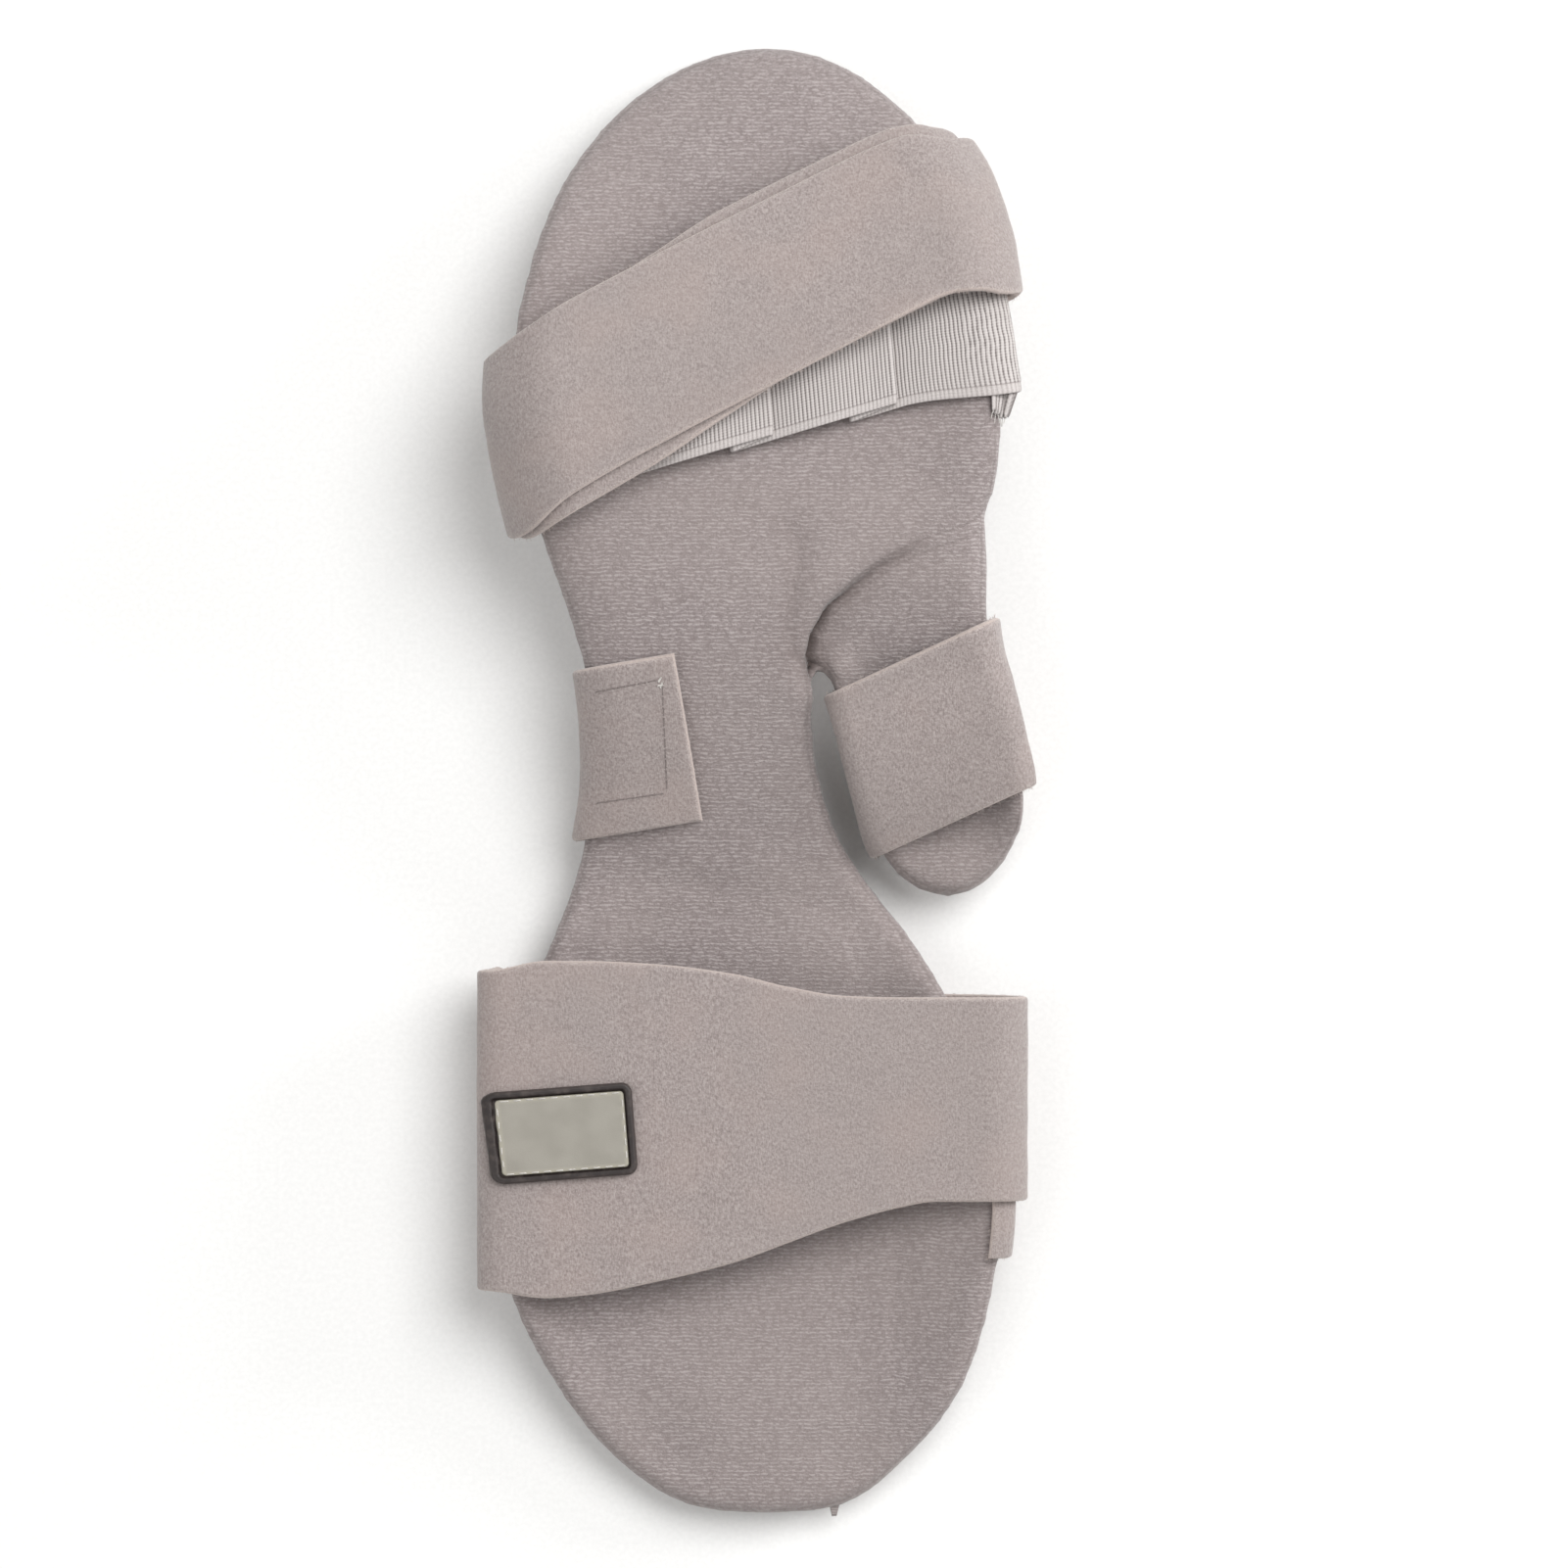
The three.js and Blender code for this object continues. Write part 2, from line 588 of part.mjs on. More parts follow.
const halfForearm = FOREARM_WIDTH / 2;
const halfPan = PAN_WIDTH / 2;
const scaled = (rows, half) =>
  rows.map((row) => ({ along: row.along, left: row.left * half, right: row.right * half }));
const bodyOutline = [
  ...scaled(FOREARM_OUTLINE, halfForearm),
  ...scaled(WRIST_OUTLINE, WRIST_WIDTH / 2),
  ...scaled(PAN_OUTLINE, halfPan),
];

// The forearm's trough lies on its strap, which lies on the floor.
const floorToMiddle = STRAP_THICKNESS + STRAP_EASE + PAD_THICKNESS / 2;
const bodyCurve = (column) => curveThrough(PROFILE, column, straight);
const [rise, axis, forearmCup, panCup] = ["rise", "axis", "forearm", "pan"].map(bodyCurve);

// How far a trough has risen at a share of its half width.
const troughRise = (share) => (Math.max(0, Math.abs(share) - FLAT_SHARE) / (1 - FLAT_SHARE)) ** 2;

function bodyMiddle(x, y) {
  const along = (2 * y) / PAD_LENGTH;
  const offset = x - axis(along) * halfForearm;
  const cup =
    FOREARM_CUP * forearmCup(along) * troughRise(offset / halfForearm) +
    PAN_CUP * panCup(along) * troughRise(offset / halfPan);
  return floorToMiddle + PALM_RISE * rise(along) + cup;
}

const body = new Padding({
  centre: 0,
  length: PAD_LENGTH,
  left: curveThrough(bodyOutline, "left", rounded),
  right: curveThrough(bodyOutline, "right", rounded),
  middle: bodyMiddle,
  edgeRound: PAD_EDGE_ROUND,
  stations: bodyOutline,
});

const halfThumb = THUMB_WIDTH / 2;
const thumbOutline = THUMB_OUTLINE.map((row) => ({
  along: row.along,
  left: THUMB_X + row.left * halfThumb,
  right: THUMB_X + row.right * halfThumb,
}));
const [thumbAxis, thumbFall, thumbCup, thumbTilt] = ["axis", "fall", "cup", "tilt"].map((column) =>
  curveThrough(THUMB_PROFILE, column, straight),
);
const thumbRoot = floorToMiddle + PALM_RISE - THUMB_ROOT_BELOW_PALM;

function thumbMiddle(x, y) {
  const along = (2 * (y - THUMB_Y)) / THUMB_LENGTH;
  const share = (x - THUMB_X - thumbAxis(along) * halfThumb) / halfThumb;
  const spine = thumbRoot - THUMB_DROP * thumbFall(along) + THUMB_TILT * thumbTilt(along) * share;
  return spine + THUMB_CUP * thumbCup(along) * troughRise(share);
}

const thumb = new Padding({
  centre: THUMB_Y,
  length: THUMB_LENGTH,
  left: curveThrough(thumbOutline, "left", rounded),
  right: curveThrough(thumbOutline, "right", rounded),
  middle: thumbMiddle,
  edgeRound: THUMB_EDGE_ROUND,
  stations: thumbOutline,
});

const wasm = await Module();
wasm.setup();

// A geometry as a solid that can be joined or cut.
function solidFrom(geometry) {
  const bare = new THREE.BufferGeometry();
  bare.setAttribute("position", geometry.getAttribute("position"));
  bare.setIndex(geometry.getIndex());
  const merged = mergeVertices(bare, 1e-4);
  return new wasm.Manifold(
    new wasm.Mesh({
      numProp: 3,
      vertProperties: new Float32Array(merged.getAttribute("position").array),
      triVerts: new Uint32Array(merged.getIndex().array),
    }),
  );
}

function geometryFrom(solid) {
  const mesh = solid.getMesh();
  const geometry = new THREE.BufferGeometry();
  geometry.setAttribute("position", new THREE.BufferAttribute(mesh.vertProperties, 3));
  geometry.setIndex(new THREE.BufferAttribute(mesh.triVerts, 1));
  geometry.computeVertexNormals();
  return geometry;
}

function padGeometry() {
  const trunk = solidFrom(body.geometry(PAD_ROW_STEP, PAD_COLUMNS));
  return geometryFrom(trunk.add(solidFrom(thumb.geometry(PAD_ROW_STEP, THUMB_COLUMNS))));
}

// Forearm strap, and the tab that lies under its thumb-side half.
const shapeRows = FOREARM_STRAP_SHAPE.map((row) => ({ ...row, along: row.across }));
const [lowerGrowth, upperGrowth] = ["lower", "upper"].map((edge) => curveThrough(shapeRows, edge, straight));
const grown = FOREARM_STRAP_WIDE - FOREARM_STRAP_NARROW;
const forearmEdgesAt = (across) => [
  -FOREARM_STRAP_NARROW / 2 + grown * lowerGrowth(across),
  FOREARM_STRAP_NARROW / 2 + grown * upperGrowth(across),
];
const mostOf = (pick, index) => pick(...shapeRows.map((row) => forearmEdgesAt(row.across)[index]));
const forearmLines = {
  padding: body,
  at: FOREARM_STRAP_AT,
  from: mostOf(Math.min, 0),
  to: mostOf(Math.max, 1),
  lines: FOREARM_FACES.lines,
  taut: true,
};
const underForearmStrap = new Wrap({ ...forearmLines, packing: eased });
const anchorRoom = (p) => layerStep * smoothly(p.s / halfForearm, ANCHOR_ROOM.from, ANCHOR_ROOM.to);
const forearmWrap = new Wrap({
  ...forearmLines,
  stiffAt: FOREARM_WIDEST_Y - FOREARM_STRAP_AT.y,
  packing: (p) => STRAP_EASE + standing(p) + anchorRoom(p),
});

// Its narrow end lies on the back, its wide end closes over it.
function forearmStrap() {
  return strapGeometry(forearmWrap, FOREARM_STRAP_WAY, FOREARM_FACES, (turn) => {
    const onFront = Math.abs(turn) < FRONT_TURN;
    return forearmEdgesAt(onFront ? forearmWrap.point(0, turn, 0).x / halfForearm : 2 * Math.sign(turn));
  });
}

function forearmAnchor() {
  const middle = ANCHOR_Y - FOREARM_STRAP_AT.y;
  const turnAt = (length) => underForearmStrap.turnOn(underForearmStrap.ringNear(middle), length);
  const way = { from: turnAt(ANCHOR_FROM_MIDDLE), to: turnAt(ANCHOR_FROM_MIDDLE + ANCHOR_LENGTH) };
  const edges = () => [middle - ANCHOR_WIDTH / 2, middle + ANCHOR_WIDTH / 2];
  return strapGeometry(underForearmStrap, way, ANCHOR_FACES, edges);
}

// Elastic loops: the band's way over the pan as lengths along the pan's section and heights above it.
const elasticWrap = new Wrap({
  padding: body,
  at: ELASTIC_AT,
  from: -LOOP_SLIP,
  to: ELASTIC_WIDTH + LOOP_SLIP,
  lines: ELASTIC_LINES,
  taut: false,
  packing: eased,
});

function elasticPath() {
  const layer = ELASTIC_THICKNESS + STRAP_GAP;
  const ground = STRAP_EASE + ELASTIC_THICKNESS / 2;
  const radius = layer / 2;
  const ring = elasticWrap.ringNear(ELASTIC_WIDTH / 2);
  const path = [];
  const add = (length, height, slip, rim = null) =>
    path.push({ length, height, slip: LOOP_SLIP * slip, rim });
  // A loop rises off the pad and comes down on it, from one length and height to another length. rim says how
  // much its two ends move with the pan's rim.
  const loop = (from, high, to, side, rims) => {
    for (let i = 1; i <= LOOP_STEPS; i += 1) {
      const t = (1 - Math.cos((Math.PI * i) / LOOP_STEPS)) / 2;
      const height = lerp(high, ground, smoothly(t, 0, 1)) + LOOP_BULGE * Math.sin(Math.PI * t) ** 2;
      add(lerp(from, to, t), height, 0.5 - t, { side, share: lerp(rims[0], rims[1], t) });
    }
  };
  const bend = (middle, height, way, slip) => {
    for (let i = 1; i <= BEND_STEPS; i += 1) {
      const angle = (Math.PI * i) / BEND_STEPS;
      add(middle + way * radius * Math.sin(angle), height - radius * Math.cos(angle), slip);
    }
  };
  const thumbSide = elasticWrap.rimLength(ring, 1);
  const otherSide = elasticWrap.rimLength(ring, -1);
  for (let i = 0; i < TUCK_STEPS; i += 1)
    add(thumbSide + ELASTIC_TUCK * (1 - i / TUCK_STEPS), ground, 0.5, { side: 1, share: 1 });
  add(thumbSide, ground, 0.5, { side: 1, share: 1 });
  let from = thumbSide;
  let high = ground;
  let rims = [1, 0];
  PLEATS.forEach(({ fold, turn }) => {
    loop(from, high, fold * halfPan + radius, 1, rims);
    bend(fold * halfPan + radius, ground + radius, -1, -0.5);
    add(lerp(fold, turn, 0.5) * halfPan, ground + layer, 0);
    add(turn * halfPan - radius, ground + layer, 0.5);
    bend(turn * halfPan - radius, ground + layer + radius, 1, 0.5);
    from = turn * halfPan - radius;
    high = ground + 2 * layer;
    rims = [0, 0];
  });
  loop(from, high, otherSide, -1, [0, 1]);
  for (let i = 1; i <= TUCK_STEPS; i += 1)
    add(otherSide - (ELASTIC_TUCK * i) / TUCK_STEPS, ground, -0.5, { side: -1, share: 1 });
  return path;
}

function fingerLoops() {
  const path = elasticPath();
  const lean = Math.tan(radians(ELASTIC_RIB_LEAN));
  const middleRing = elasticWrap.ringNear(ELASTIC_WIDTH / 2);
  const rimShift = (q, { side, share }) =>
    share * (elasticWrap.rimLength(elasticWrap.ringNear(q), side) - elasticWrap.rimLength(middleRing, side));
  return sheetGeometry(path.length - 1, LOOP_ROWS, (i, j, side) => {
    const [before, here, after] = [path[Math.max(i - 1, 0)], path[i], path[Math.min(i + 1, path.length - 1)]];
    const run = Math.hypot(after.length - before.length, after.height - before.height);
    const out = (side - 0.5) * ELASTIC_THICKNESS;
    const length = here.length - (out * (after.height - before.height)) / run;
    const height = here.height + (out * (after.length - before.length)) / run;
    const q = (ELASTIC_WIDTH * j) / LOOP_ROWS + here.slip;
    const leaned = here.rim ? lerp(q * lean, rimShift(q, here.rim), here.rim.share) : q * lean;
    return elasticWrap.pointAlong(q, length + leaned, height);
  });
}

// Finger strap: wound almost twice round the pan, over the loops.
const fingerEdgeCurves = ["lower", "upper"].map((edge) => curveThrough(FINGER_STRAP_EDGES, edge, straight));
const fingerEdges = (turn) => fingerEdgeCurves.map((curve) => STRAP_WIDTH * curve(turn));
const loopStack = STRAP_EASE + STRAP_STAND + LOOP_BULGE / 2 + 3 * (ELASTIC_THICKNESS + STRAP_GAP);
const loopEnd = 2 * STRAP_EASE + ELASTIC_THICKNESS;
const loopRoom = (p) => lerp(loopStack, loopEnd, smoothly(Math.abs(p.share), LOOP_ROOM.from, LOOP_ROOM.to));

function fingerStrap() {
  const wrap = new Wrap({
    padding: body,
    at: FINGER_STRAP_AT,
    from: STRAP_WIDTH * Math.min(...FINGER_STRAP_EDGES.map((row) => row.lower)),
    to: STRAP_WIDTH * Math.max(...FINGER_STRAP_EDGES.map((row) => row.upper)),
    lines: FINGER_FACES.lines,
    taut: true,
    packing: (p) => (p.sign < 0 ? loopEnd : loopRoom(p)),
  });
  return strapGeometry(wrap, FINGER_STRAP_WAY, FINGER_FACES, fingerEdges);
}

function thumbStrap() {
  const wrap = new Wrap({
    padding: thumb,
    at: THUMB_STRAP_AT,
    lines: THUMB_FACES.lines,
    packing: (p) => STRAP_EASE + standing(p),
    ...plainReach,
  });
  return strapGeometry(wrap, THUMB_STRAP_WAY, THUMB_FACES, plainEdges);
}

function wristStrap() {
  const wrap = new Wrap({
    padding: body,
    at: WRIST_STRAP_AT,
    lines: WRIST_FACES.lines,
    packing: eased,
    ...plainReach,
  });
  return strapGeometry(wrap, WRIST_STRAP_WAY, WRIST_FACES, plainEdges);
}

// Label patch: lengths from its middle, along the forearm strap's front and up the hand.
function labelPoint(a, b, height) {
  const [cos, sin] = [Math.cos(radians(LABEL.turned)), Math.sin(radians(LABEL.turned))];
  const q = LABEL.y - FOREARM_STRAP_AT.y + a * sin + b * cos;
  const length = LABEL.x + a * cos - b * sin;
  const level = levelOn(FOREARM_STRAP_WAY, forearmWrap.turnOn(forearmWrap.ringNear(q), length));
  return forearmWrap.pointAlong(q, length, level + STRAP_THICKNESS + LABEL.gap + height);
}

// Pulls the corner of a rectangle in to an arc.
function roundCorner(a, b, halfLength, halfWidth, corner) {
  const [da, db] = [Math.abs(a) - halfLength + corner, Math.abs(b) - halfWidth + corner];
  if (da <= 0 || db <= 0) return [a, b];
  const share = Math.max(da, db) / Math.hypot(da, db);
  return [Math.sign(a) * (halfLength - corner + da * share), Math.sign(b) * (halfWidth - corner + db * share)];
}

// A plate of the label between two heights. heights(k) is the outer height at the k-th line in from the edge.
function labelPlate(halfLength, halfWidth, corner, insets, base, heights) {
  const lines = (half, parts) => {
    const low = insets.map((inset) => -half + inset);
    const last = half - insets[insets.length - 1];
    const middle = Array.from({ length: parts - 1 }, (_, i) => lerp(-last, last, (i + 1) / parts));
    return [...low, ...middle, ...low.map((value) => -value).reverse()];
  };
  const [columns, rows] = [lines(halfLength, LABEL_FACES.columns), lines(halfWidth, LABEL_FACES.rows)];
  const depth = (i, count) => Math.min(i, count - 1 - i, insets.length - 1);
  return sheetGeometry(columns.length - 1, rows.length - 1, (i, j, side) => {
    const [a, b] = roundCorner(columns[i], rows[j], halfLength, halfWidth, corner);
    const outer = heights[Math.min(depth(i, columns.length), depth(j, rows.length))];
    return labelPoint(a, b, side ? outer : base);
  });
}

function labelFrame() {
  const insets = [0, LABEL.corner / 2, LABEL.rim, LABEL.rim + LABEL.slope];
  const top = LABEL.base + LABEL.lip;
  return labelPlate(LABEL.length / 2, LABEL.width / 2, LABEL.corner, insets, 0, [top, top, top, LABEL.base]);
}

function labelFace() {
  const inset = LABEL.rim + LABEL.gap;
  const base = LABEL.base + LABEL.gap;
  const corner = LABEL.corner - LABEL.rim;
  const insets = [0, corner];
  const top = base + LABEL.face;
  return labelPlate(LABEL.length / 2 - inset, LABEL.width / 2 - inset, corner, insets, base, [top, top]);
}

// The seam tape's end stands out of the rim at the lower tip.
function seamTail() {
  let y = -PAD_LENGTH / 2;
  while (!body.isInside(TAIL.x, y)) y += 0.05;
  const outline = new THREE.Shape();
  outline.moveTo(-TAIL.width / 2, 0);
  outline.lineTo(TAIL.width / 2, 0);
  outline.quadraticCurveTo(TAIL.width / 3, -TAIL.length * 0.7, 0, -TAIL.length);
  outline.lineTo(-TAIL.width / 2, 0);
  const settings = { depth: TAIL.thickness, bevelEnabled: false, curveSegments: 3 };
  const geometry = new THREE.ExtrudeGeometry(outline, settings);
  return geometry.translate(TAIL.x, y - STRAP_GAP, body.middle(TAIL.x, y) - TAIL.thickness / 2);
}

const finishes = {
  knit: { color: 0xa39998, roughness: 0.95, metalness: 0 },
  strap: { color: 0xaea3a0, roughness: 0.95, metalness: 0 },
  elastic: { color: 0xc1bcba, roughness: 0.8, metalness: 0 },
  rubber: { color: 0x463f3b, roughness: 0.6, metalness: 0 },
  patch: { color: 0xa8a49b, roughness: 0.5, metalness: 0 },
  tape: { color: 0x6f6a68, roughness: 0.9, metalness: 0 },
};

const pieces = [
  ["splint_pad", padGeometry, "knit"],
  ["finger_loops", fingerLoops, "elastic"],
  ["finger_strap", fingerStrap, "strap"],
  ["thumb_strap", thumbStrap, "strap"],
  ["wrist_strap", wristStrap, "strap"],
  ["forearm_anchor", forearmAnchor, "strap"],
  ["forearm_strap", forearmStrap, "strap"],
  ["label_frame", labelFrame, "rubber"],
  ["label_face", labelFace, "patch"],
  ["seam_tail", seamTail, "tape"],
];

const splint = new THREE.Group();
pieces.forEach(([name, build, finish]) => {
  const mesh = new THREE.Mesh(build(), new THREE.MeshStandardMaterial(finishes[finish]));
  mesh.name = name;
  splint.add(mesh);
});

// The origin is below the middle of the whole splint, on the surface that it lies on.
const extent = new THREE.Box3().setFromObject(splint);
const middle = extent.getCenter(new THREE.Vector3());
splint.position.set(-middle.x, -middle.y, -extent.min.z);
const model = new THREE.Group();
model.add(splint);

export default model;
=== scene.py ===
# %% [markdown]
# # Resting hand splint
# A padded splint that holds a resting forearm, hand and thumb: a trough of foam under a brushed knit cover,
# with straps that close round it and a pleated elastic band that makes four finger loops.
# The script dresses the packed model in fabric. It works in millimetres and turns them into metres only when
# a mesh is made, in the same frame: +Y to the fingertips, +X to the thumb, +Z up.

# %% Frame
import math
import bpy
import numpy as np
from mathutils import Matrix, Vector
from mathutils.bvhtree import BVHTree
from mathutils.kdtree import KDTree


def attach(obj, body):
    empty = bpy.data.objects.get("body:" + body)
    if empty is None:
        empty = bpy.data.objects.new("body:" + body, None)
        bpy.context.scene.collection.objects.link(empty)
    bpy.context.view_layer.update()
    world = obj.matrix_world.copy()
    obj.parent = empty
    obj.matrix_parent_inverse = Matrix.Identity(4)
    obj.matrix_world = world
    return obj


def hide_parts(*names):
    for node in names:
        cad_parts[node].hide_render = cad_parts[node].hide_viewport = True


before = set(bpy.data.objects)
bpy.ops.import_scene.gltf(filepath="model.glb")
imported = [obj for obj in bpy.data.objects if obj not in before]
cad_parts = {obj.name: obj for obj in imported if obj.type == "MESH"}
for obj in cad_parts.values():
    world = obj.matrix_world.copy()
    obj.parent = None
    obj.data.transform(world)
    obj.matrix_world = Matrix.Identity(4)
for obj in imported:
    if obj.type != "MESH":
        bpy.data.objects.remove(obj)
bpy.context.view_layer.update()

MM = 0.001
SHIFT = np.array([0.1832, 0.75, 0.0])  # from the tables' middle line to the frame's origin
scene = bpy.context.scene

# %% [markdown]
# ## Camera
# The photograph looks straight down on the splint. A long lens far above keeps its sides from leaning, and
# the width of the picture at strap height sets the lens.

# %% Camera
PICTURE_WIDTH = 372.4  # what the picture spans at strap height
PICTURE_MIDDLE = (6.4, -1.05)
CAMERA_HEIGHT, STRAP_HEIGHT = 1630, 30
SENSOR = 36  # mm, the same scale as the lens
camera_data = bpy.data.cameras.new("camera")
camera_data.sensor_width = SENSOR
camera_data.lens = SENSOR * (CAMERA_HEIGHT - STRAP_HEIGHT) / PICTURE_WIDTH
camera_data.clip_end = 20
camera = bpy.data.objects.new("camera", camera_data)
camera.location = Vector((PICTURE_MIDDLE[0] + SHIFT[0], PICTURE_MIDDLE[1] + SHIFT[1], CAMERA_HEIGHT)) * MM
scene.collection.objects.link(camera)
scene.camera = camera
print("lens", round(camera_data.lens, 1), "mm")

# %% [markdown]
# ## Floor and light
# Product pictures of fabric are lit by a very large soft source, so that folds show but no hard shadow does.
# Here that is a broad lamp from the thumb side and the fingertips, a weaker one from the other side, and a
# pale sky. The floor is a sheet of pale paper.

# %% Floor and light
def lamp(name, size, power, place):
    """A round soft lamp that looks at the splint."""
    data = bpy.data.lights.new(name, "AREA")
    data.shape = "DISK"
    data.size = size
    data.energy = power
    lit = bpy.data.objects.new(name, data)
    lit.location = place
    lit.rotation_euler = (-Vector(place)).to_track_quat("-Z", "Y").to_euler()
    scene.collection.objects.link(lit)

lamp("key", size=1.4, power=31, place=(0.7, 0.75, 1.8))
lamp("fill", size=1.6, power=9, place=(-1.1, -0.5, 1.6))
lamp("low_key", size=0.5, power=6.5, place=(1.15, 0.45, 0.45))
world = bpy.data.worlds.new("studio")
scene.world = world
world.use_nodes = True
sky = world.node_tree.nodes["Background"]
sky.inputs["Color"].default_value = (1, 0.99, 0.975, 1)
sky.inputs["Strength"].default_value = 0.42
scene.view_settings.view_transform = "Standard"

# %% [markdown]
# ## Shader helpers
# A finish is a small sum: so much grain, so much rib, darker in the seams. The class below wraps a socket, so
# that such a sum is written as a sum, and every operator adds its Math node.

# %% Sums of sockets
class Value:
    """A socket that can be added to, multiplied and so on."""

    def __init__(self, finish, socket):
        self.finish, self.socket = finish, socket

    def math(self, operation, *others):
        return self.finish.node("ShaderNodeMath", {"operation": operation}, self, *others)

    def after(self, operation, other):
        """As math, with the other value first."""
        return self.finish.node("ShaderNodeMath", {"operation": operation}, other, self)

    def __add__(self, other): return self.math("ADD", other)
    __radd__ = __add__
    def __mul__(self, other): return self.math("MULTIPLY", other)
    __rmul__ = __mul__
    def __sub__(self, other): return self.math("SUBTRACT", other)
    def __rsub__(self, other): return self.after("SUBTRACT", other)
    def __truediv__(self, other): return self.math("DIVIDE", other)
    def __rtruediv__(self, other): return self.after("DIVIDE", other)

    def clamp(self, low=0.0, high=1.0):
        return self.math("MAXIMUM", low).math("MINIMUM", high)

    def step(self, low, high, start=0.0, end=1.0):
        """Goes smoothly from start to end as the value goes from low to high."""
        return self.finish.node(
            "ShaderNodeMapRange", {"interpolation_type": "SMOOTHSTEP"}, self, low, high, start, end
        )
print("operators:", [name for name, made in vars(Value).items() if name.startswith("__") and callable(made)][1:])

# %% Finishes
class Finish:
    """A material under construction."""

    def __init__(self, name, roughness, sheen=0.0, specular=0.5):
        self.material = bpy.data.materials.new(name)
        self.material.use_nodes = True
        self.tree = self.material.node_tree
        self.shader = self.tree.nodes["Principled BSDF"]
        for socket, value in (
            ("Roughness", roughness), ("Sheen Weight", sheen), ("Sheen Roughness", 0.5),
            ("Specular IOR Level", specular),
        ):
            self.shader.inputs[socket].default_value = value

    def node(self, kind, settings=None, *inputs, output=0, **named):
        """Adds a node of a type: its settings first, then the values or links of its sockets."""
        made = self.tree.nodes.new(kind)
        for key, value in (settings or {}).items():
            setattr(made, key, value)
        for key, value in [*enumerate(inputs), *named.items()]:
            if isinstance(value, Value):
                self.tree.links.new(value.socket, made.inputs[key])
            elif value is not None:
                made.inputs[key].default_value = value
        return Value(self, made.outputs[output])

    def mix(self, factor, one, other):
        """A colour between two colours, which are the node's seventh and eighth sockets."""
        return self.node("ShaderNodeMix", {"data_type": "RGBA"}, factor, *[None] * 5, one, other, output=2)

    def place(self):
        """Where a point is in the frame, in metres."""
        return self.node("ShaderNodeTexCoord", output="Object")

    def scaled(self, place, scale):
        return self.node("ShaderNodeVectorMath", {"operation": "MULTIPLY"}, place, scale)

    def noise(self, place, scale, detail=2.0, rough=0.5):
        """Noise from 0 to 1 with features a 1/scale of a metre across."""
        return self.node("ShaderNodeTexNoise", None, place, Scale=scale, Detail=detail, Roughness=rough)

    def attribute(self, name):
        return self.node("ShaderNodeAttribute", {"attribute_name": name}, output="Fac")

    def bump(self, height, depth, strength):
        """A normal from a height of 0 to 1 that stands for a depth in millimetres."""
        return self.node("ShaderNodeBump", None, Strength=strength, Distance=depth * MM, Height=height)

    def finish(self, colour, roughness=None, normal=None):
        for key, value in (("Base Color", colour), ("Roughness", roughness), ("Normal", normal)):
            if value is not None:
                self.tree.links.new(value.socket, self.shader.inputs[key])
        return self.material

print("what a finish can do:", [name for name in vars(Finish) if not name.startswith("_")])

# %% Screen colours
def linear(red, green, blue):
    """A colour of the screen, 0 to 255, as light."""
    share = np.array([red, green, blue]) / 255
    light = np.where(share < 0.04045, share / 12.92, ((share + 0.055) / 1.055) ** 2.4)
    return (*light.tolist(), 1.0)

print("half of white on the screen is", round(linear(128, 128, 128)[0], 2), "of its light")

# %% [markdown]
# ## Shape of the padding
# The same tables that shape the solids give the padding here, worked out on a much finer grid. An outline
# from above, a side profile and a trough are enough: the padding is a middle surface with a thickness that
# rounds off at the rim. A curve that never overshoots its rows keeps the outline calm.

# %% Curves
def straight(value):
    return np.asarray(value, float)

def rounded(value):
    return -np.arccos(np.clip(value, -1, 1))  # makes the two ends of an outline round

def curve(rows, column, measure=straight):
    """A smooth curve through one column of a table that never overshoots its rows."""
    x, y = measure(rows[:, 0]), rows[:, column]
    order = np.argsort(x)
    x, y = x[order], y[order]
    slope = np.diff(y) / np.diff(x)
    product = slope[:-1] * slope[1:]
    inner = np.where(product > 0, 2 * product / np.where(product > 0, slope[:-1] + slope[1:], 1), 0)
    tangent = np.concatenate([slope[:1], inner, slope[-1:]])

    def at(value):
        v = measure(value)
        i = np.clip(np.searchsorted(x, v) - 1, 0, len(x) - 2)
        run = x[i + 1] - x[i]
        t = np.clip((v - x[i]) / run, 0, 1)
        bend = run * t * (1 - t) * ((1 - t) * tangent[i] - t * tangent[i + 1])
        return y[i] + (y[i + 1] - y[i]) * t * t * (3 - 2 * t) + bend

    return at

print("a curve from 0 to 1 is at", float(curve(np.array([(0, 0), (1, 1)]), 1)(0.25)), "after a quarter")

def smoothly(value, low, high):
    """Goes from 0 to 1 as the value goes from low to high."""
    t = np.clip((np.asarray(value, float) - low) / (high - low), 0, 1)
    return t * t * (3 - 2 * t)

# %% Easing towards the tips
SAMPLES, SIDE = 720, 90  # steps of the half turn from tip to tip, and how far the easing looks

def eased(through, spread):
    """An outline's curve with the small corners between its rows eased away towards its two tips."""
    angle = np.linspace(0, np.pi, SAMPLES + 1)
    plain = through(-np.cos(angle))
    soft = np.exp(-((np.arange(-SIDE, SIDE + 1) * angle[1] / spread) ** 2) / 2)
    value = np.convolve(np.pad(plain, SIDE, mode="reflect", reflect_type="odd"), soft / soft.sum(), "valid")
    value = plain + (value - plain) * smoothly(abs(np.cos(angle)), 0.55, 0.75)
    return lambda along: np.interp(np.arccos(-np.clip(along, -1, 1)), angle, value)

print("a smooth step has gone", float(smoothly(0.25, 0, 1)), "of its way after a quarter")

# %% Padding
STRAP_THICKNESS, LAYER_GAP, EASE = 2.4, 0.35, 0.6
HALF_THICKNESS = 6

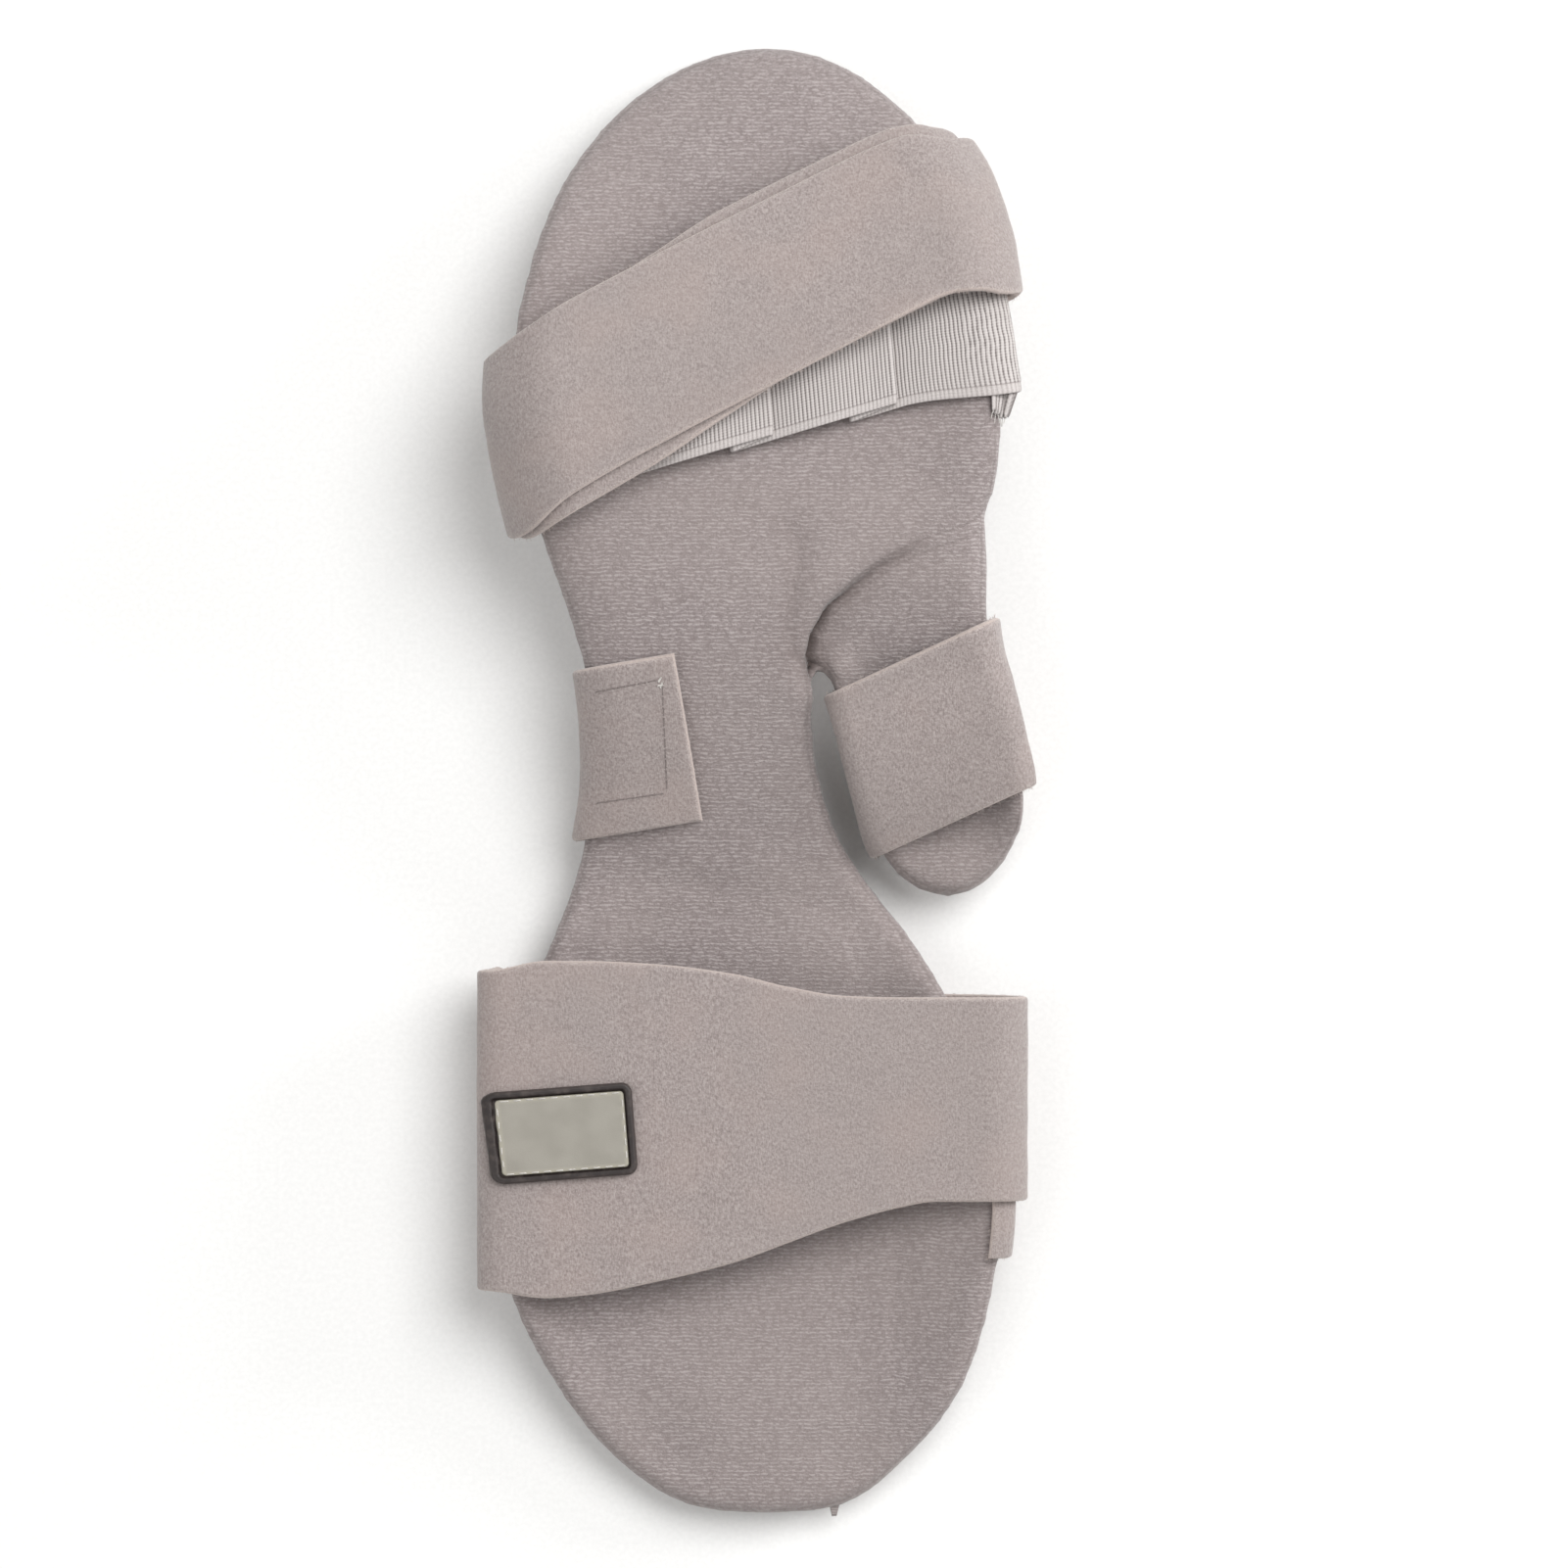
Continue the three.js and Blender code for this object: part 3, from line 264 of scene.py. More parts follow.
class Padding:
    """Foam of one outline: rims, middle surface and thickness at any x and y."""

    def __init__(self, centre, length, left, right, middle, edge_round):
        self.centre, self.length, self.left, self.right = centre, length, left, right
        self.middle, self.edge_round = middle, edge_round
        along = -np.cos(np.linspace(0, np.pi, 241))
        y = centre + along * length / 2
        sides = [np.stack([rim(along), y], 1) for rim in (left, right)]
        self.outline = np.concatenate([sides[0], sides[1][-2:0:-1]])

    def along(self, y):
        return 2 * (y - self.centre) / self.length

    def inside(self, x, y):
        along = self.along(y)
        return (abs(along) < 1) & (x > self.left(along)) & (x < self.right(along))

    def rim_distance(self, x, y):
        start, end = self.outline, np.roll(self.outline, -1, 0)
        run = end - start
        least = []
        flat = np.stack([np.ravel(x), np.ravel(y)], 1)
        for part in np.array_split(flat, max(1, len(flat) // 4000)):
            away = part[:, None] - start
            t = np.clip((away * run).sum(2) / (run**2).sum(1), 0, 1)
            least.append(np.sqrt(((away - t[..., None] * run) ** 2).sum(2).min(1)))
        return np.concatenate(least).reshape(np.shape(x))

    def height(self, x, y, side):
        share = np.minimum(self.rim_distance(x, y) / self.edge_round, 1)
        return self.middle(x, y) + side * HALF_THICKNESS * np.sqrt(np.maximum(1 - (1 - share) ** 2, 0))

print("the padding is", 2 * HALF_THICKNESS, "mm thick")

# %% Tables of the body
# along left right
FOREARM = np.array([
    (-1, 0.019, 0.019), (-0.991, -0.25, 0.33), (-0.965, -0.395, 0.448), (-0.938, -0.505, 0.531),
    (-0.886, -0.664, 0.687), (-0.807, -0.812, 0.835), (-0.728, -0.937, 0.899), (-0.649, -1.009, 0.945),
    (-0.57, -1.04, 0.96), (-0.465, -1.025, 0.922), (-0.334, -0.941, 0.805), (-0.268, -0.865, 0.702),
])

# along left right
WRIST = np.array([
    (-0.202, -1.778, 1.299), (-0.143, -1.632, 0.991), (-0.071, -1.513, 0.701), (-0.005, -1.453, 0.564),
    (0.047, -1.444, 0.504), (0.1, -1.462, 0.487), (0.152, -1.513, 0.479),
])

# along left right
PAN = np.array([
    (0.185, -0.746, 0.238), (0.21, -0.766, 0.266), (0.234, -0.79, 0.323), (0.258, -0.815, 0.403),
    (0.281, -0.843, 0.5), (0.302, -0.865, 0.617), (0.317, -0.88, 0.73), (0.331, -0.893, 0.855),
    (0.352, -0.911, 0.94), (0.382, -0.935, 0.976), (0.442, -0.972, 1), (0.52, -1.004, 0.996),
    (0.612, -0.992, 0.98), (0.691, -0.94, 0.956), (0.77, -0.863, 0.903), (0.849, -0.734, 0.786),
    (0.901, -0.601, 0.637), (0.941, -0.464, 0.504), (0.974, -0.29, 0.351), (0.991, -0.153, 0.218),
    (1, 0.032, 0.032),
])

# along rise axis forearm pan
PROFILE = np.array([
    (-1, 0, -0.03, 1, 0), (-0.2, 0, -0.03, 1, 0), (-0.14, 0.085, -0.1, 0.8, 0), (-0.07, 0.24, -0.2, 0.3, 0),
    (0, 0.42, -0.22, 0, 0.2), (0.07, 0.6, -0.2, 0, 0), (0.14, 0.76, -0.1, 0, -0.2),
    (0.21, 0.89, 0, 0, -0.45), (0.28, 0.97, 0, 0, -0.45), (0.36, 1, 0, 0, -0.1), (0.44, 0.97, 0, 0, 0.45),
    (0.54, 0.85, 0, 0, 1), (0.65, 0.66, 0, 0, 1), (0.78, 0.38, 0, 0, 0.9), (0.9, 0.06, 0, 0, 0.6),
    (1, -0.2, 0, 0, 0.4),
])

print("rows in the body's outline:", len(FOREARM) + len(WRIST) + len(PAN))

# %% Body
PAD_LENGTH, HALF_FOREARM, HALF_WRIST, HALF_PAN = 354, 61.3, 27.2, 57.7
PALM_RISE, FOREARM_CUP, PAN_CUP, FLAT_SHARE = 28.5, 14, 7, 0.35
FLOOR_TO_MIDDLE = STRAP_THICKNESS + EASE + HALF_THICKNESS
outline = np.concatenate([
    rows * (1, half, half) for rows, half in ((FOREARM, HALF_FOREARM), (WRIST, HALF_WRIST), (PAN, HALF_PAN))
])
rise, axis, forearm_cup, pan_cup = (curve(PROFILE, column) for column in (1, 2, 3, 4))

def trough(share):
    """How far a trough has risen at a share of its half width."""
    return (np.maximum(0, abs(share) - FLAT_SHARE) / (1 - FLAT_SHARE)) ** 2

def body_middle(x, y):
    along = 2 * y / PAD_LENGTH
    offset = x - axis(along) * HALF_FOREARM
    return (
        FLOOR_TO_MIDDLE + PALM_RISE * rise(along)
        + FOREARM_CUP * forearm_cup(along) * trough(offset / HALF_FOREARM)
        + PAN_CUP * pan_cup(along) * trough(offset / HALF_PAN)
    )

BODY_EASING, BODY_ROUND = 0.085, 9
body_rims = [eased(curve(outline, column, rounded), BODY_EASING) for column in (1, 2)]
body = Padding(0, PAD_LENGTH, *body_rims, body_middle, BODY_ROUND)
print("palm stands", round(float(body_middle(np.array(0.0), np.array(64.0))), 1), "mm up")

# %% Tables of the thumb trough
# along left right
THUMB_OUTLINE = np.array([
    (1, 0.022, 0.022), (0.962, -0.371, 0.42), (0.856, -0.708, 0.56), (0.664, -1.011, 0.56),
    (0.472, -1.258, 0.55), (0.329, -1.393, 0.573), (0.175, -1.404, 0.64), (0.041, -1.213, 0.73),
    (-0.199, -1.034, 0.865), (-0.439, -0.888, 0.989), (-0.583, -0.798, 1.011), (-0.679, -0.742, 0.978),
    (-0.784, -0.652, 0.865), (-0.871, -0.517, 0.708), (-0.942, -0.292, 0.528), (-1, 0.135, 0.135),
])

# along axis fall cup tilt
THUMB_PROFILE = np.array([
    (1, -0.1, 0, 0, 1), (0.6, -0.2, 0.04, 0, 1), (0.33, -0.35, 0.2, 0, 0.8), (0.05, -0.25, 0.47, 0.45, 0.3),
    (-0.2, -0.08, 0.7, 0.9, 0), (-0.5, 0.05, 0.88, 1, 0), (-0.75, 0.1, 0.96, 0.75, 0),
    (-1, 0.13, 1, 0.35, 0),
])

print("rows in the thumb's outline:", len(THUMB_OUTLINE))

# %% Thumb
THUMB_EASING, THUMB_ROUND = 0.12, 7
THUMB_LENGTH, HALF_THUMB, THUMB_X, THUMB_Y = 97, 20.7, 43, 0.0575 * PAD_LENGTH
THUMB_DROP, THUMB_CUP, THUMB_TILT, THUMB_ROOT = 23.5, 14.5, 2, FLOOR_TO_MIDDLE + PALM_RISE - 2.2
thumb_rows = THUMB_OUTLINE * (1, HALF_THUMB, HALF_THUMB) + (0, THUMB_X, THUMB_X)
thumb_axis, thumb_fall, thumb_cup, thumb_tilt = (curve(THUMB_PROFILE, column) for column in (1, 2, 3, 4))

def thumb_middle(x, y):
    along = 2 * (y - THUMB_Y) / THUMB_LENGTH
    share = (x - THUMB_X - thumb_axis(along) * HALF_THUMB) / HALF_THUMB
    spine = THUMB_ROOT - THUMB_DROP * thumb_fall(along) + THUMB_TILT * thumb_tilt(along) * share
    return spine + THUMB_CUP * thumb_cup(along) * trough(share)

thumb_rims = [eased(curve(thumb_rows, column, rounded), THUMB_EASING) for column in (1, 2)]
thumb = Padding(THUMB_Y, THUMB_LENGTH, *thumb_rims, thumb_middle, THUMB_ROUND)
print("thumb trough:", THUMB_LENGTH, "mm long")

# %% [markdown]
# ## Meshes
# A piece is made from points in millimetres, moved into the frame, given its finish and hung on the body.

# %% Meshes
def mesh_object(name, points, faces):
    data = bpy.data.meshes.new(name)
    data.from_pydata(((np.asarray(points) + SHIFT) * MM).tolist(), [], faces)
    data.update()
    data.polygons.foreach_set("use_smooth", [True] * len(data.polygons))
    made = bpy.data.objects.new(name, data)
    scene.collection.objects.link(made)
    return made

def read(values, name, kind=np.float32, each=3):
    """One property of all of a mesh's parts, as rows of numbers."""
    flat = np.empty(len(values) * each, kind)
    values.foreach_get(name, flat)
    return flat.reshape(-1, each)

def points_of(piece):
    """A piece's points in the tables' millimetres."""
    return read(piece.data.vertices, "co") / MM - SHIFT

def normals_of(piece):
    return read(piece.data.vertices, "normal").astype(float)

def set_points(piece, points):
    piece.data.vertices.foreach_set("co", ((points + SHIFT) * MM).astype(np.float32).ravel())
    piece.data.update()

def keep(piece, name, values):
    """Stores a number for each point, for the finish to read."""
    store = piece.data.attributes.new(name, "FLOAT", "POINT")
    store.data.foreach_set("value", np.asarray(values, np.float32).ravel())

def apply_modifiers(piece):
    graph = bpy.context.evaluated_depsgraph_get()
    baked = bpy.data.meshes.new_from_object(piece.evaluated_get(graph))
    piece.modifiers.clear()
    piece.data = baked
    baked.polygons.foreach_set("use_smooth", [True] * len(baked.polygons))
    return piece

print("shift into the frame, mm:", SHIFT.tolist())

# %% [markdown]
# ## What goes round the padding
# A strap drawn tight can't follow a hollow, so it lies on the hull of each cut through the padding. The hull
# comes from how far the cut reaches in every direction. The elastic isn't tight, and follows the cut itself.
# A place on a strap is then a turn round the ring, a distance across, and a height above it.

# %% Rings
LAYER = STRAP_THICKNESS + LAYER_GAP
TURNS = 720  # points of a ring
HULL_SIDES = 192
BEND_WEIGHT = 16  # a radian of bend gets as many points as so many millimetres

def hull_of(cut, room):
    """The tight line round a cut, which leaves room for what lies under the strap."""
    s, z, side, share = cut
    angle = np.arange(HULL_SIDES) * 2 * np.pi / HULL_SIDES
    u, v = np.cos(angle), np.sin(angle)
    support = (np.outer(u, s) + np.outer(v, z) + room(s, side, share)).max(1)
    slide = (np.roll(support, -1) - support * np.cos(angle[1])) / np.sin(angle[1])
    return (support * u - slide * v)[::-1], (support * v + slide * u)[::-1]

def ring_of(s, z):
    """A closed line as even turns (s, z, arc, normal), more of them in its bends, and its length."""
    ds, dz = np.roll(s, -1) - s, np.roll(z, -1) - z
    length = np.hypot(ds, dz)
    solid = length > 1e-6
    s, z, ds, dz, length = s[solid], z[solid], ds[solid], dz[solid], length[solid]
    heading = np.arctan2(dz, ds)
    bend = abs((heading - np.roll(heading, 1) + np.pi) % (2 * np.pi) - np.pi) * BEND_WEIGHT
    # Two marks for each corner, before and after its bend.
    after = np.cumsum(bend + length) - length
    marks = np.stack([after - bend, after], 1).ravel()
    arcs = np.repeat(np.cumsum(length) - length, 2)
    total, round_about = float(np.sum(bend + length)), float(length.sum())
    top = (s <= 0) & (np.roll(s, -1) > 0) & (z > (z.min() + z.max()) / 2)
    i = int(np.argmax(top))
    past = s[i] / ds[i] * length[i]
    wrapped = lambda a, period: np.concatenate([a - period, a, a + period])
    knots = wrapped(marks, total)
    wanted = after[i] - past + np.arange(TURNS) / TURNS * total
    found = [np.interp(wanted, knots, np.tile(np.repeat(a, 2), 3)) for a in (s, z)]
    arc = np.interp(wanted, knots, wrapped(arcs, round_about)) - (arcs[2 * i] - past)
    soft = np.array([1, 4, 6, 4, 1]) / 16
    found = [np.convolve(np.pad(a, 2, "wrap"), soft, "valid") for a in found]
    run_s, run_z = (np.roll(a, -3) - np.roll(a, 3) for a in found)
    size = np.maximum(np.hypot(run_s, run_z), 1e-9)
    return np.stack([*found, arc, -run_z / size, run_s / size], 1), round_about

print("a strap and its gap take", LAYER, "mm")

# %% Wraps
class Wrap:
    """Closed rings in upright planes along one direction, clockwise from above the trough's middle."""

    def __init__(self, padding, x, y, turned, low, high, lines, room=None, stiff_at=None):
        self.padding, self.x, self.y = padding, x, y
        self.cos, self.sin = math.cos(math.radians(turned)), math.sin(math.radians(turned))
        # A stiff wrap keeps its width at one cut, and stands off where the padding narrows.
        self.widest = None if stiff_at is None else self.section(stiff_at)
        self.q = np.linspace(low, high, lines)
        rings, self.periods = zip(*[ring_of(*self.line(q, room)) for q in self.q])
        self.rings = np.array(rings)  # line, turn, (s, z, arc, ns, nz)

    def place(self, s, q):
        return self.x + s * self.cos - q * self.sin, self.y + s * self.sin + q * self.cos

    def reach(self, q, side):
        steps = np.arange(0, 140, 0.1)
        inside = self.padding.inside(*self.place(side * steps, q))
        return side * steps[np.argmin(inside)]

    def section(self, q):
        """A cut through the padding: places, side and share of the half width."""
        low, high = self.reach(q, -1), self.reach(q, 1)
        share = -np.cos(np.linspace(0, np.pi, 121))
        s = low + (high - low) * (1 + share) / 2
        place = self.place(s, q)
        up, down = self.padding.height(*place, 1), self.padding.height(*place, -1)
        joined = lambda a, b: np.concatenate([a, b[-2:0:-1]])
        return joined(s, s), joined(up, down), joined(1 + 0 * s, 0 * s - 1), joined(share, share)

    def line(self, q, room):
        """What the wrap follows at q: the cut's hull, or the cut itself where no room is asked."""
        cut = self.section(q)
        if not room:
            return cut[:2]
        if self.widest:
            cut = [np.concatenate(pair) for pair in zip(cut, self.widest)]
        return hull_of(cut, room)

    def lookup(self, q, turn, out):
        """Points at turns and distances across, out along each ring's normal. turn may differ by line."""
        by_line = np.ndim(turn) > max(np.ndim(q), np.ndim(out))
        q, out = np.broadcast_arrays(q, out)
        line = np.clip((q - self.q[0]) / (self.q[1] - self.q[0]), 0, len(self.q) - 1)
        i = np.minimum(line.astype(int), len(self.q) - 2)
        ends = []
        for k in (i, i + 1):
            here = np.take_along_axis(turn, k[None], 0)[0] if by_line else np.broadcast_to(turn, q.shape)
            at = (here % 1) * TURNS
            j = at.astype(int) % TURNS
            t = (at - np.floor(at))[..., None]
            s, z, _, ns, nz = np.moveaxis(
                self.rings[k, j] * (1 - t) + self.rings[k, (j + 1) % TURNS] * t, -1, 0
            )
            size = np.hypot(ns, nz)
            ends.append(np.stack([s + out * ns / size, z + out * nz / size], -1))
        share = (line - i)[..., None]
        s, z = np.moveaxis(ends[0] * (1 - share) + ends[1] * share, -1, 0)
        return np.stack([*self.place(s, q), z], -1)

    def near(self, q):
        return int(np.argmin(abs(self.q - q)))

    def arc_at(self, turn, k):
        """Length along line k, from the middle of the front."""
        turn = np.asarray(turn, float)
        arc = np.append(self.rings[k][:, 2], self.periods[k])
        arc[0] = 0
        whole = np.floor(turn)
        return whole * self.periods[k] + np.interp((turn - whole) * TURNS, np.arange(TURNS + 1), arc)

    def turn_at(self, length, k):
        turns = np.linspace(-1, 1, 2 * TURNS + 1)
        return np.interp(length, self.arc_at(turns, k), turns)

    def lookup_along(self, q, length, out):
        """As lookup, with a length along each line in place of a turn."""
        q, length, out = np.broadcast_arrays(q, length, out)
        turns = np.stack([self.turn_at(length, k) for k in range(len(self.q))])
        return self.lookup(q, turns, out)

    def rim_length(self, k, side):
        """The length from the middle of the front to the furthest point on one side."""
        ring = self.rings[k]
        i = int(np.argmax(side * ring[:, 0]))
        return ring[i, 2] - (0 if side > 0 else self.periods[k])

print("a wrap has", TURNS, "places on each ring")

# %% Flat pieces
STRAP_SPACING = 0.9

def edge_steps(length, spacing, near=(0, 0.05, 0.18, 0.4, 0.7, 1.1)):
    """Distances along a side: close together by both edges, then evenly spaced."""
    inner = np.linspace(near[-1], length - near[-1], max(2, int((length - 2 * near[-1]) / spacing)))
    return np.concatenate([near[:-1], inner, length - np.array(near[-2::-1])])

def rounded_off(distance):
    """Half thickness of webbing at a distance from its edge, which is a little squarer than round."""
    return STRAP_THICKNESS / 2 * (1 - (1 - np.clip(distance, 0, 1)) ** 2.3) ** (1 / 2.3)

def round_edge(distance, radius):
    """From 0 on an edge to 1 where its round ends."""
    return np.sqrt(1 - (1 - np.clip(distance / radius, 0, 1)) ** 2)

def grid_normals(points):
    along = np.gradient(points, axis=0)
    across = np.gradient(points, axis=1)
    normal = np.cross(along, across)
    return normal / np.linalg.norm(normal, axis=2, keepdims=True)

print("webbing is", round(float(2 * rounded_off(0.5)), 2), "mm thick half a millimetre from its edge")

# %% Pillows
def pillow(name, middle, normal, half, **kept):
    """A flat closed piece: one grid out, one grid back, sharing their rim. half is 0 on the rim.

    The kept grids of numbers are stored on its points, for the finish to read.
    """
    rows, columns = middle.shape[:2]
    upper = middle + normal * half[..., None]
    lower = middle - normal * half[..., None]
    number = np.arange(rows * columns).reshape(rows, columns)
    back = number + rows * columns
    back[[0, -1], :], back[:, [0, -1]] = number[[0, -1], :], number[:, [0, -1]]
    squares = lambda n: np.stack([n[:-1, :-1], n[1:, :-1], n[1:, 1:], n[:-1, 1:]], 2).reshape(-1, 4)
    faces = np.concatenate([squares(number), squares(back)[:, ::-1]])
    points = np.concatenate([upper.reshape(-1, 3), lower.reshape(-1, 3)])
    used = np.unique(faces)
    renumber = np.zeros(len(points), int)
    renumber[used] = np.arange(len(used))
    piece = mesh_object(name, points[used], renumber[faces].tolist())
    for key, values in kept.items():
        keep(piece, key, np.broadcast_to(values, (rows, columns)).ravel()[used % (rows * columns)])
    return piece

def between(name, upper, lower, on_rim=False, **kept):
    """A flat closed piece between two grids. on_rim marks where they meet."""
    reach = (upper - lower) / 2
    amount = np.linalg.norm(reach, axis=2)
    amount[on_rim] = 0
    return pillow(name, (upper + lower) / 2, reach / np.maximum(amount, 1e-9)[..., None], amount, **kept)

print("a pillow's two sides share their rim")

# %% Unevenness
def wave(x, y, seed):
    """A soft unevenness between about -1 and 1, always the same for the same seed."""
    total = 0
    for k in range(5):
        a = math.sin(seed * 12.9898 + k * 78.233) * 43758.5453 % 1 * 2 * math.pi
        f = (0.035 + 0.02 * k) * math.pi
        total = total + np.sin(f * (x * math.cos(a) + y * math.sin(a)) + a * 7) / (1.5 + k)
    return total / 2

print("unevenness at one place:", round(float(wave(10, 20, 1)), 2))

# %% A strap
def strap(name, wrap, start, end, edges, level, seed, across_at=0.0):
    """A strap between two turns of a wrap, with rounded edges and ends."""
    turns = np.linspace(start, end, 900)
    arc = wrap.arc_at(turns, wrap.near(across_at))
    length = abs(arc[-1] - arc[0])
    along = edge_steps(length, STRAP_SPACING)
    turn = np.interp(along, abs(arc - arc[0]), turns)
    lower, upper = edges(turn)
    width = float(np.mean(upper - lower))
    across = edge_steps(width, STRAP_SPACING)
    share = across / width
    q = lower[:, None] + (upper - lower)[:, None] * share
    limit = (upper - lower)[:, None]
    from_side, from_end = np.minimum(share, 1 - share) * limit, np.minimum(along, length - along)[:, None]
    rim = np.minimum(from_side, from_end)
    height = level(turn)[:, None] + STRAP_THICKNESS / 2
    middle = wrap.lookup(q, turn[:, None], height)
    normal = grid_normals(middle)
    outward = wrap.lookup(q, turn[:, None], height + 1) - middle
    if (normal * outward).sum() < 0:
        normal = -normal
    along = along[:, None]
    uneven = 0.13 * wave(along + 40, 2.2 * q, seed) + 0.05 * wave(3 * along, 5 * q, seed + 5)
    return pillow(name, middle + normal * uneven[..., None], normal, rounded_off(rim), rim=rim)

print("points on a strap are", STRAP_SPACING, "mm apart")

# %% [markdown]
# ## Padded cover
# The cover is a stiff foam under a knit that is sewn shut along its side. The two troughs are joined into one
# skin with a voxel remesh, because a foam pad has no sharp inner corners. A short cloth simulation blows the
# cover up against its seams, on a coarse copy, and the finer skin takes over that swelling. It starts a
# little too thin, so that the swollen pad fills the space that its solid holds.

# %% Shell of one padding
def quads(rings, sides, first=0):
    """Faces between rings of points that are numbered one after another."""
    return [
        (a + i, a + (i + 1) % sides, a + sides + (i + 1) % sides, a + sides + i)
        for a in range(first, first + (rings - 1) * sides, sides) for i in range(sides)
    ]

def shell(padding, row_step, columns):
    """A closed mesh of the padding: its points and its faces."""
    ends = np.linspace(0, np.pi, 26)[1:-1]
    marks = np.arccos(np.linspace(-1, 1, int(padding.length / row_step) + 1)[1:-1])
    along = np.cos(np.unique(np.round(np.concatenate([ends, marks]), 3)))[::-1]
    step = (1 - np.cos(np.linspace(0, np.pi, columns + 1))) / 2
    y = padding.centre + along[:, None] * padding.length / 2 + 0 * step
    x = padding.left(along)[:, None] + (padding.right(along) - padding.left(along))[:, None] * step
    up, down = padding.height(x, y, 1), padding.height(x, y, -1)
    up[:, [0, -1]] = padding.middle(x, y)[:, [0, -1]]
    points = np.stack([np.concatenate([a, b[:, -2:0:-1]], 1) for a, b in ((x, x), (y, y), (up, down))], 2)
    rows, around = points.shape[:2]
    poles = []
    for end in (-1, 1):
        px, py = float(padding.left(end)), padding.centre + end * padding.length / 2
        poles.append([px, py, float(padding.middle(np.array(px), np.array(py)))])
    faces = quads(rows, around)
    low, high, last = rows * around, rows * around + 1, (rows - 1) * around
    for i in range(around):
        j = (i + 1) % around
        faces += [(low, j, i), (high, last + i, last + j)]
    return np.concatenate([points.reshape(-1, 3), poles]), faces

body_shell, thumb_shell = shell(body, row_step=2.5, columns=56), shell(thumb, row_step=2.0, columns=44)
print("shells:", len(body_shell[0]), "and", len(thumb_shell[0]), "points")

# %% Skin of the pad
FINE_VOXEL, COARSE_VOXEL = 1.7 * MM, 5.5 * MM

def remesh(piece, voxel):
    """Joins all that a piece is made of into one skin."""
    joined = piece.modifiers.new("remesh", "REMESH")
    joined.mode, joined.voxel_size = "VOXEL", voxel

thumb_faces = [tuple(i + len(body_shell[0]) for i in face) for face in thumb_shell[1]]
skin = mesh_object(
    "padded_cover", np.concatenate([body_shell[0], thumb_shell[0]]), body_shell[1] + thumb_faces
)
remesh(skin, FINE_VOXEL)
relax = skin.modifiers.new("relax", "SMOOTH")
relax.factor, relax.iterations = 0.5, 4
apply_modifiers(skin)
print("pad skin:", len(skin.data.vertices), "points")

# %% Where the side seam runs
def finder_of(cloud):
    """For finding the points of a cloud that are nearest to a place."""
    finder = KDTree(len(cloud))
    for i, place in enumerate(cloud):
        finder.insert(place, i)
    finder.balance()
    return finder

def rim_points(padding, count):
    along = -np.cos(np.linspace(0.02, np.pi - 0.02, count))
    sides = []
    for side in (padding.left, padding.right):
        x, y = side(along), padding.centre + along * padding.length / 2
        sides.append(np.stack([x, y, padding.middle(x, y)], 1))
    return np.concatenate(sides)

def nearest(points, cloud):
    """Distance from each point to the nearest one of a cloud."""
    finder = finder_of(cloud)
    return np.array([finder.find(p)[2] for p in points])

body_rim = rim_points(body, 900)
thumb_rim = rim_points(thumb, 400)
hidden = body.inside(thumb_rim[:, 0], thumb_rim[:, 1])
covered = thumb.inside(body_rim[:, 0], body_rim[:, 1]) & (body_rim[:, 1] < 40)
rim_cloud = np.concatenate([body_rim[~covered], thumb_rim[~hidden]])
print("seam:", len(rim_cloud), "points")

# %% Blowing a coarse copy up
SEAM_HOLD, MOST_SWELLING, PRESSURE, SIMULATED_FRAMES = 3.2, 1.6, 4, 20

def swollen(piece):
    """How far each point of a coarse copy moves when it is blown up, as points and moves."""
    coarse = piece.copy()
    coarse.data = piece.data.copy()
    scene.collection.objects.link(coarse)
    remesh(coarse, COARSE_VOXEL)
    apply_modifiers(coarse)
    before = points_of(coarse)
    pins = coarse.vertex_groups.new(name="seam")
    pins.add(np.nonzero(nearest(before, rim_cloud) < SEAM_HOLD)[0].tolist(), 1.0, "REPLACE")
    cloth = coarse.modifiers.new("cloth", "CLOTH")
    cloth.settings.use_pressure = True
    cloth.settings.uniform_pressure_force = PRESSURE
    cloth.settings.vertex_group_mass = "seam"
    cloth.settings.effector_weights.gravity = 0
    cloth.collision_settings.use_collision = False
    for step in range(SIMULATED_FRAMES):
        scene.frame_set(step + 1)
    apply_modifiers(coarse)
    move = points_of(coarse) - before
    scene.frame_set(1)
    bpy.data.objects.remove(coarse)
    size = np.linalg.norm(move, axis=1, keepdims=True)
    return before, move * np.minimum(1, MOST_SWELLING / np.maximum(size, 1e-6))

print("the cover is blown up by at most", MOST_SWELLING, "mm")

# %% Swelling
SHRINK = 0.75  # how much thinner the pad starts
skin_points, skin_normals = points_of(skin), normals_of(skin)
thinner = SHRINK * smoothly(nearest(skin_points, rim_cloud), 2.5, 9)
lift = np.zeros_like(skin_points)
coarse_points, coarse_moves = swollen(skin)
finder = finder_of(coarse_points)
for i, place in enumerate(skin_points):
    near = finder.find_n(place, 5)
    weight = np.array([1 / (d + 1.5) ** 2 for _, _, d in near])
    lift[i] = (coarse_moves[[k for _, k, _ in near]] * weight[:, None]).sum(0) / weight.sum()
print("swelling up to", round(float(np.linalg.norm(lift, axis=1).max()), 2), "mm")
outward = np.minimum((lift * skin_normals).sum(1), SHRINK + 0.1) - thinner
set_points(skin, skin_points + skin_normals * outward[:, None])
finer = skin.modifiers.new("finer", "SUBSURF")
finer.levels = finer.render_levels = 1
apply_modifiers(skin)
print("pad:", len(skin.data.polygons), "faces")

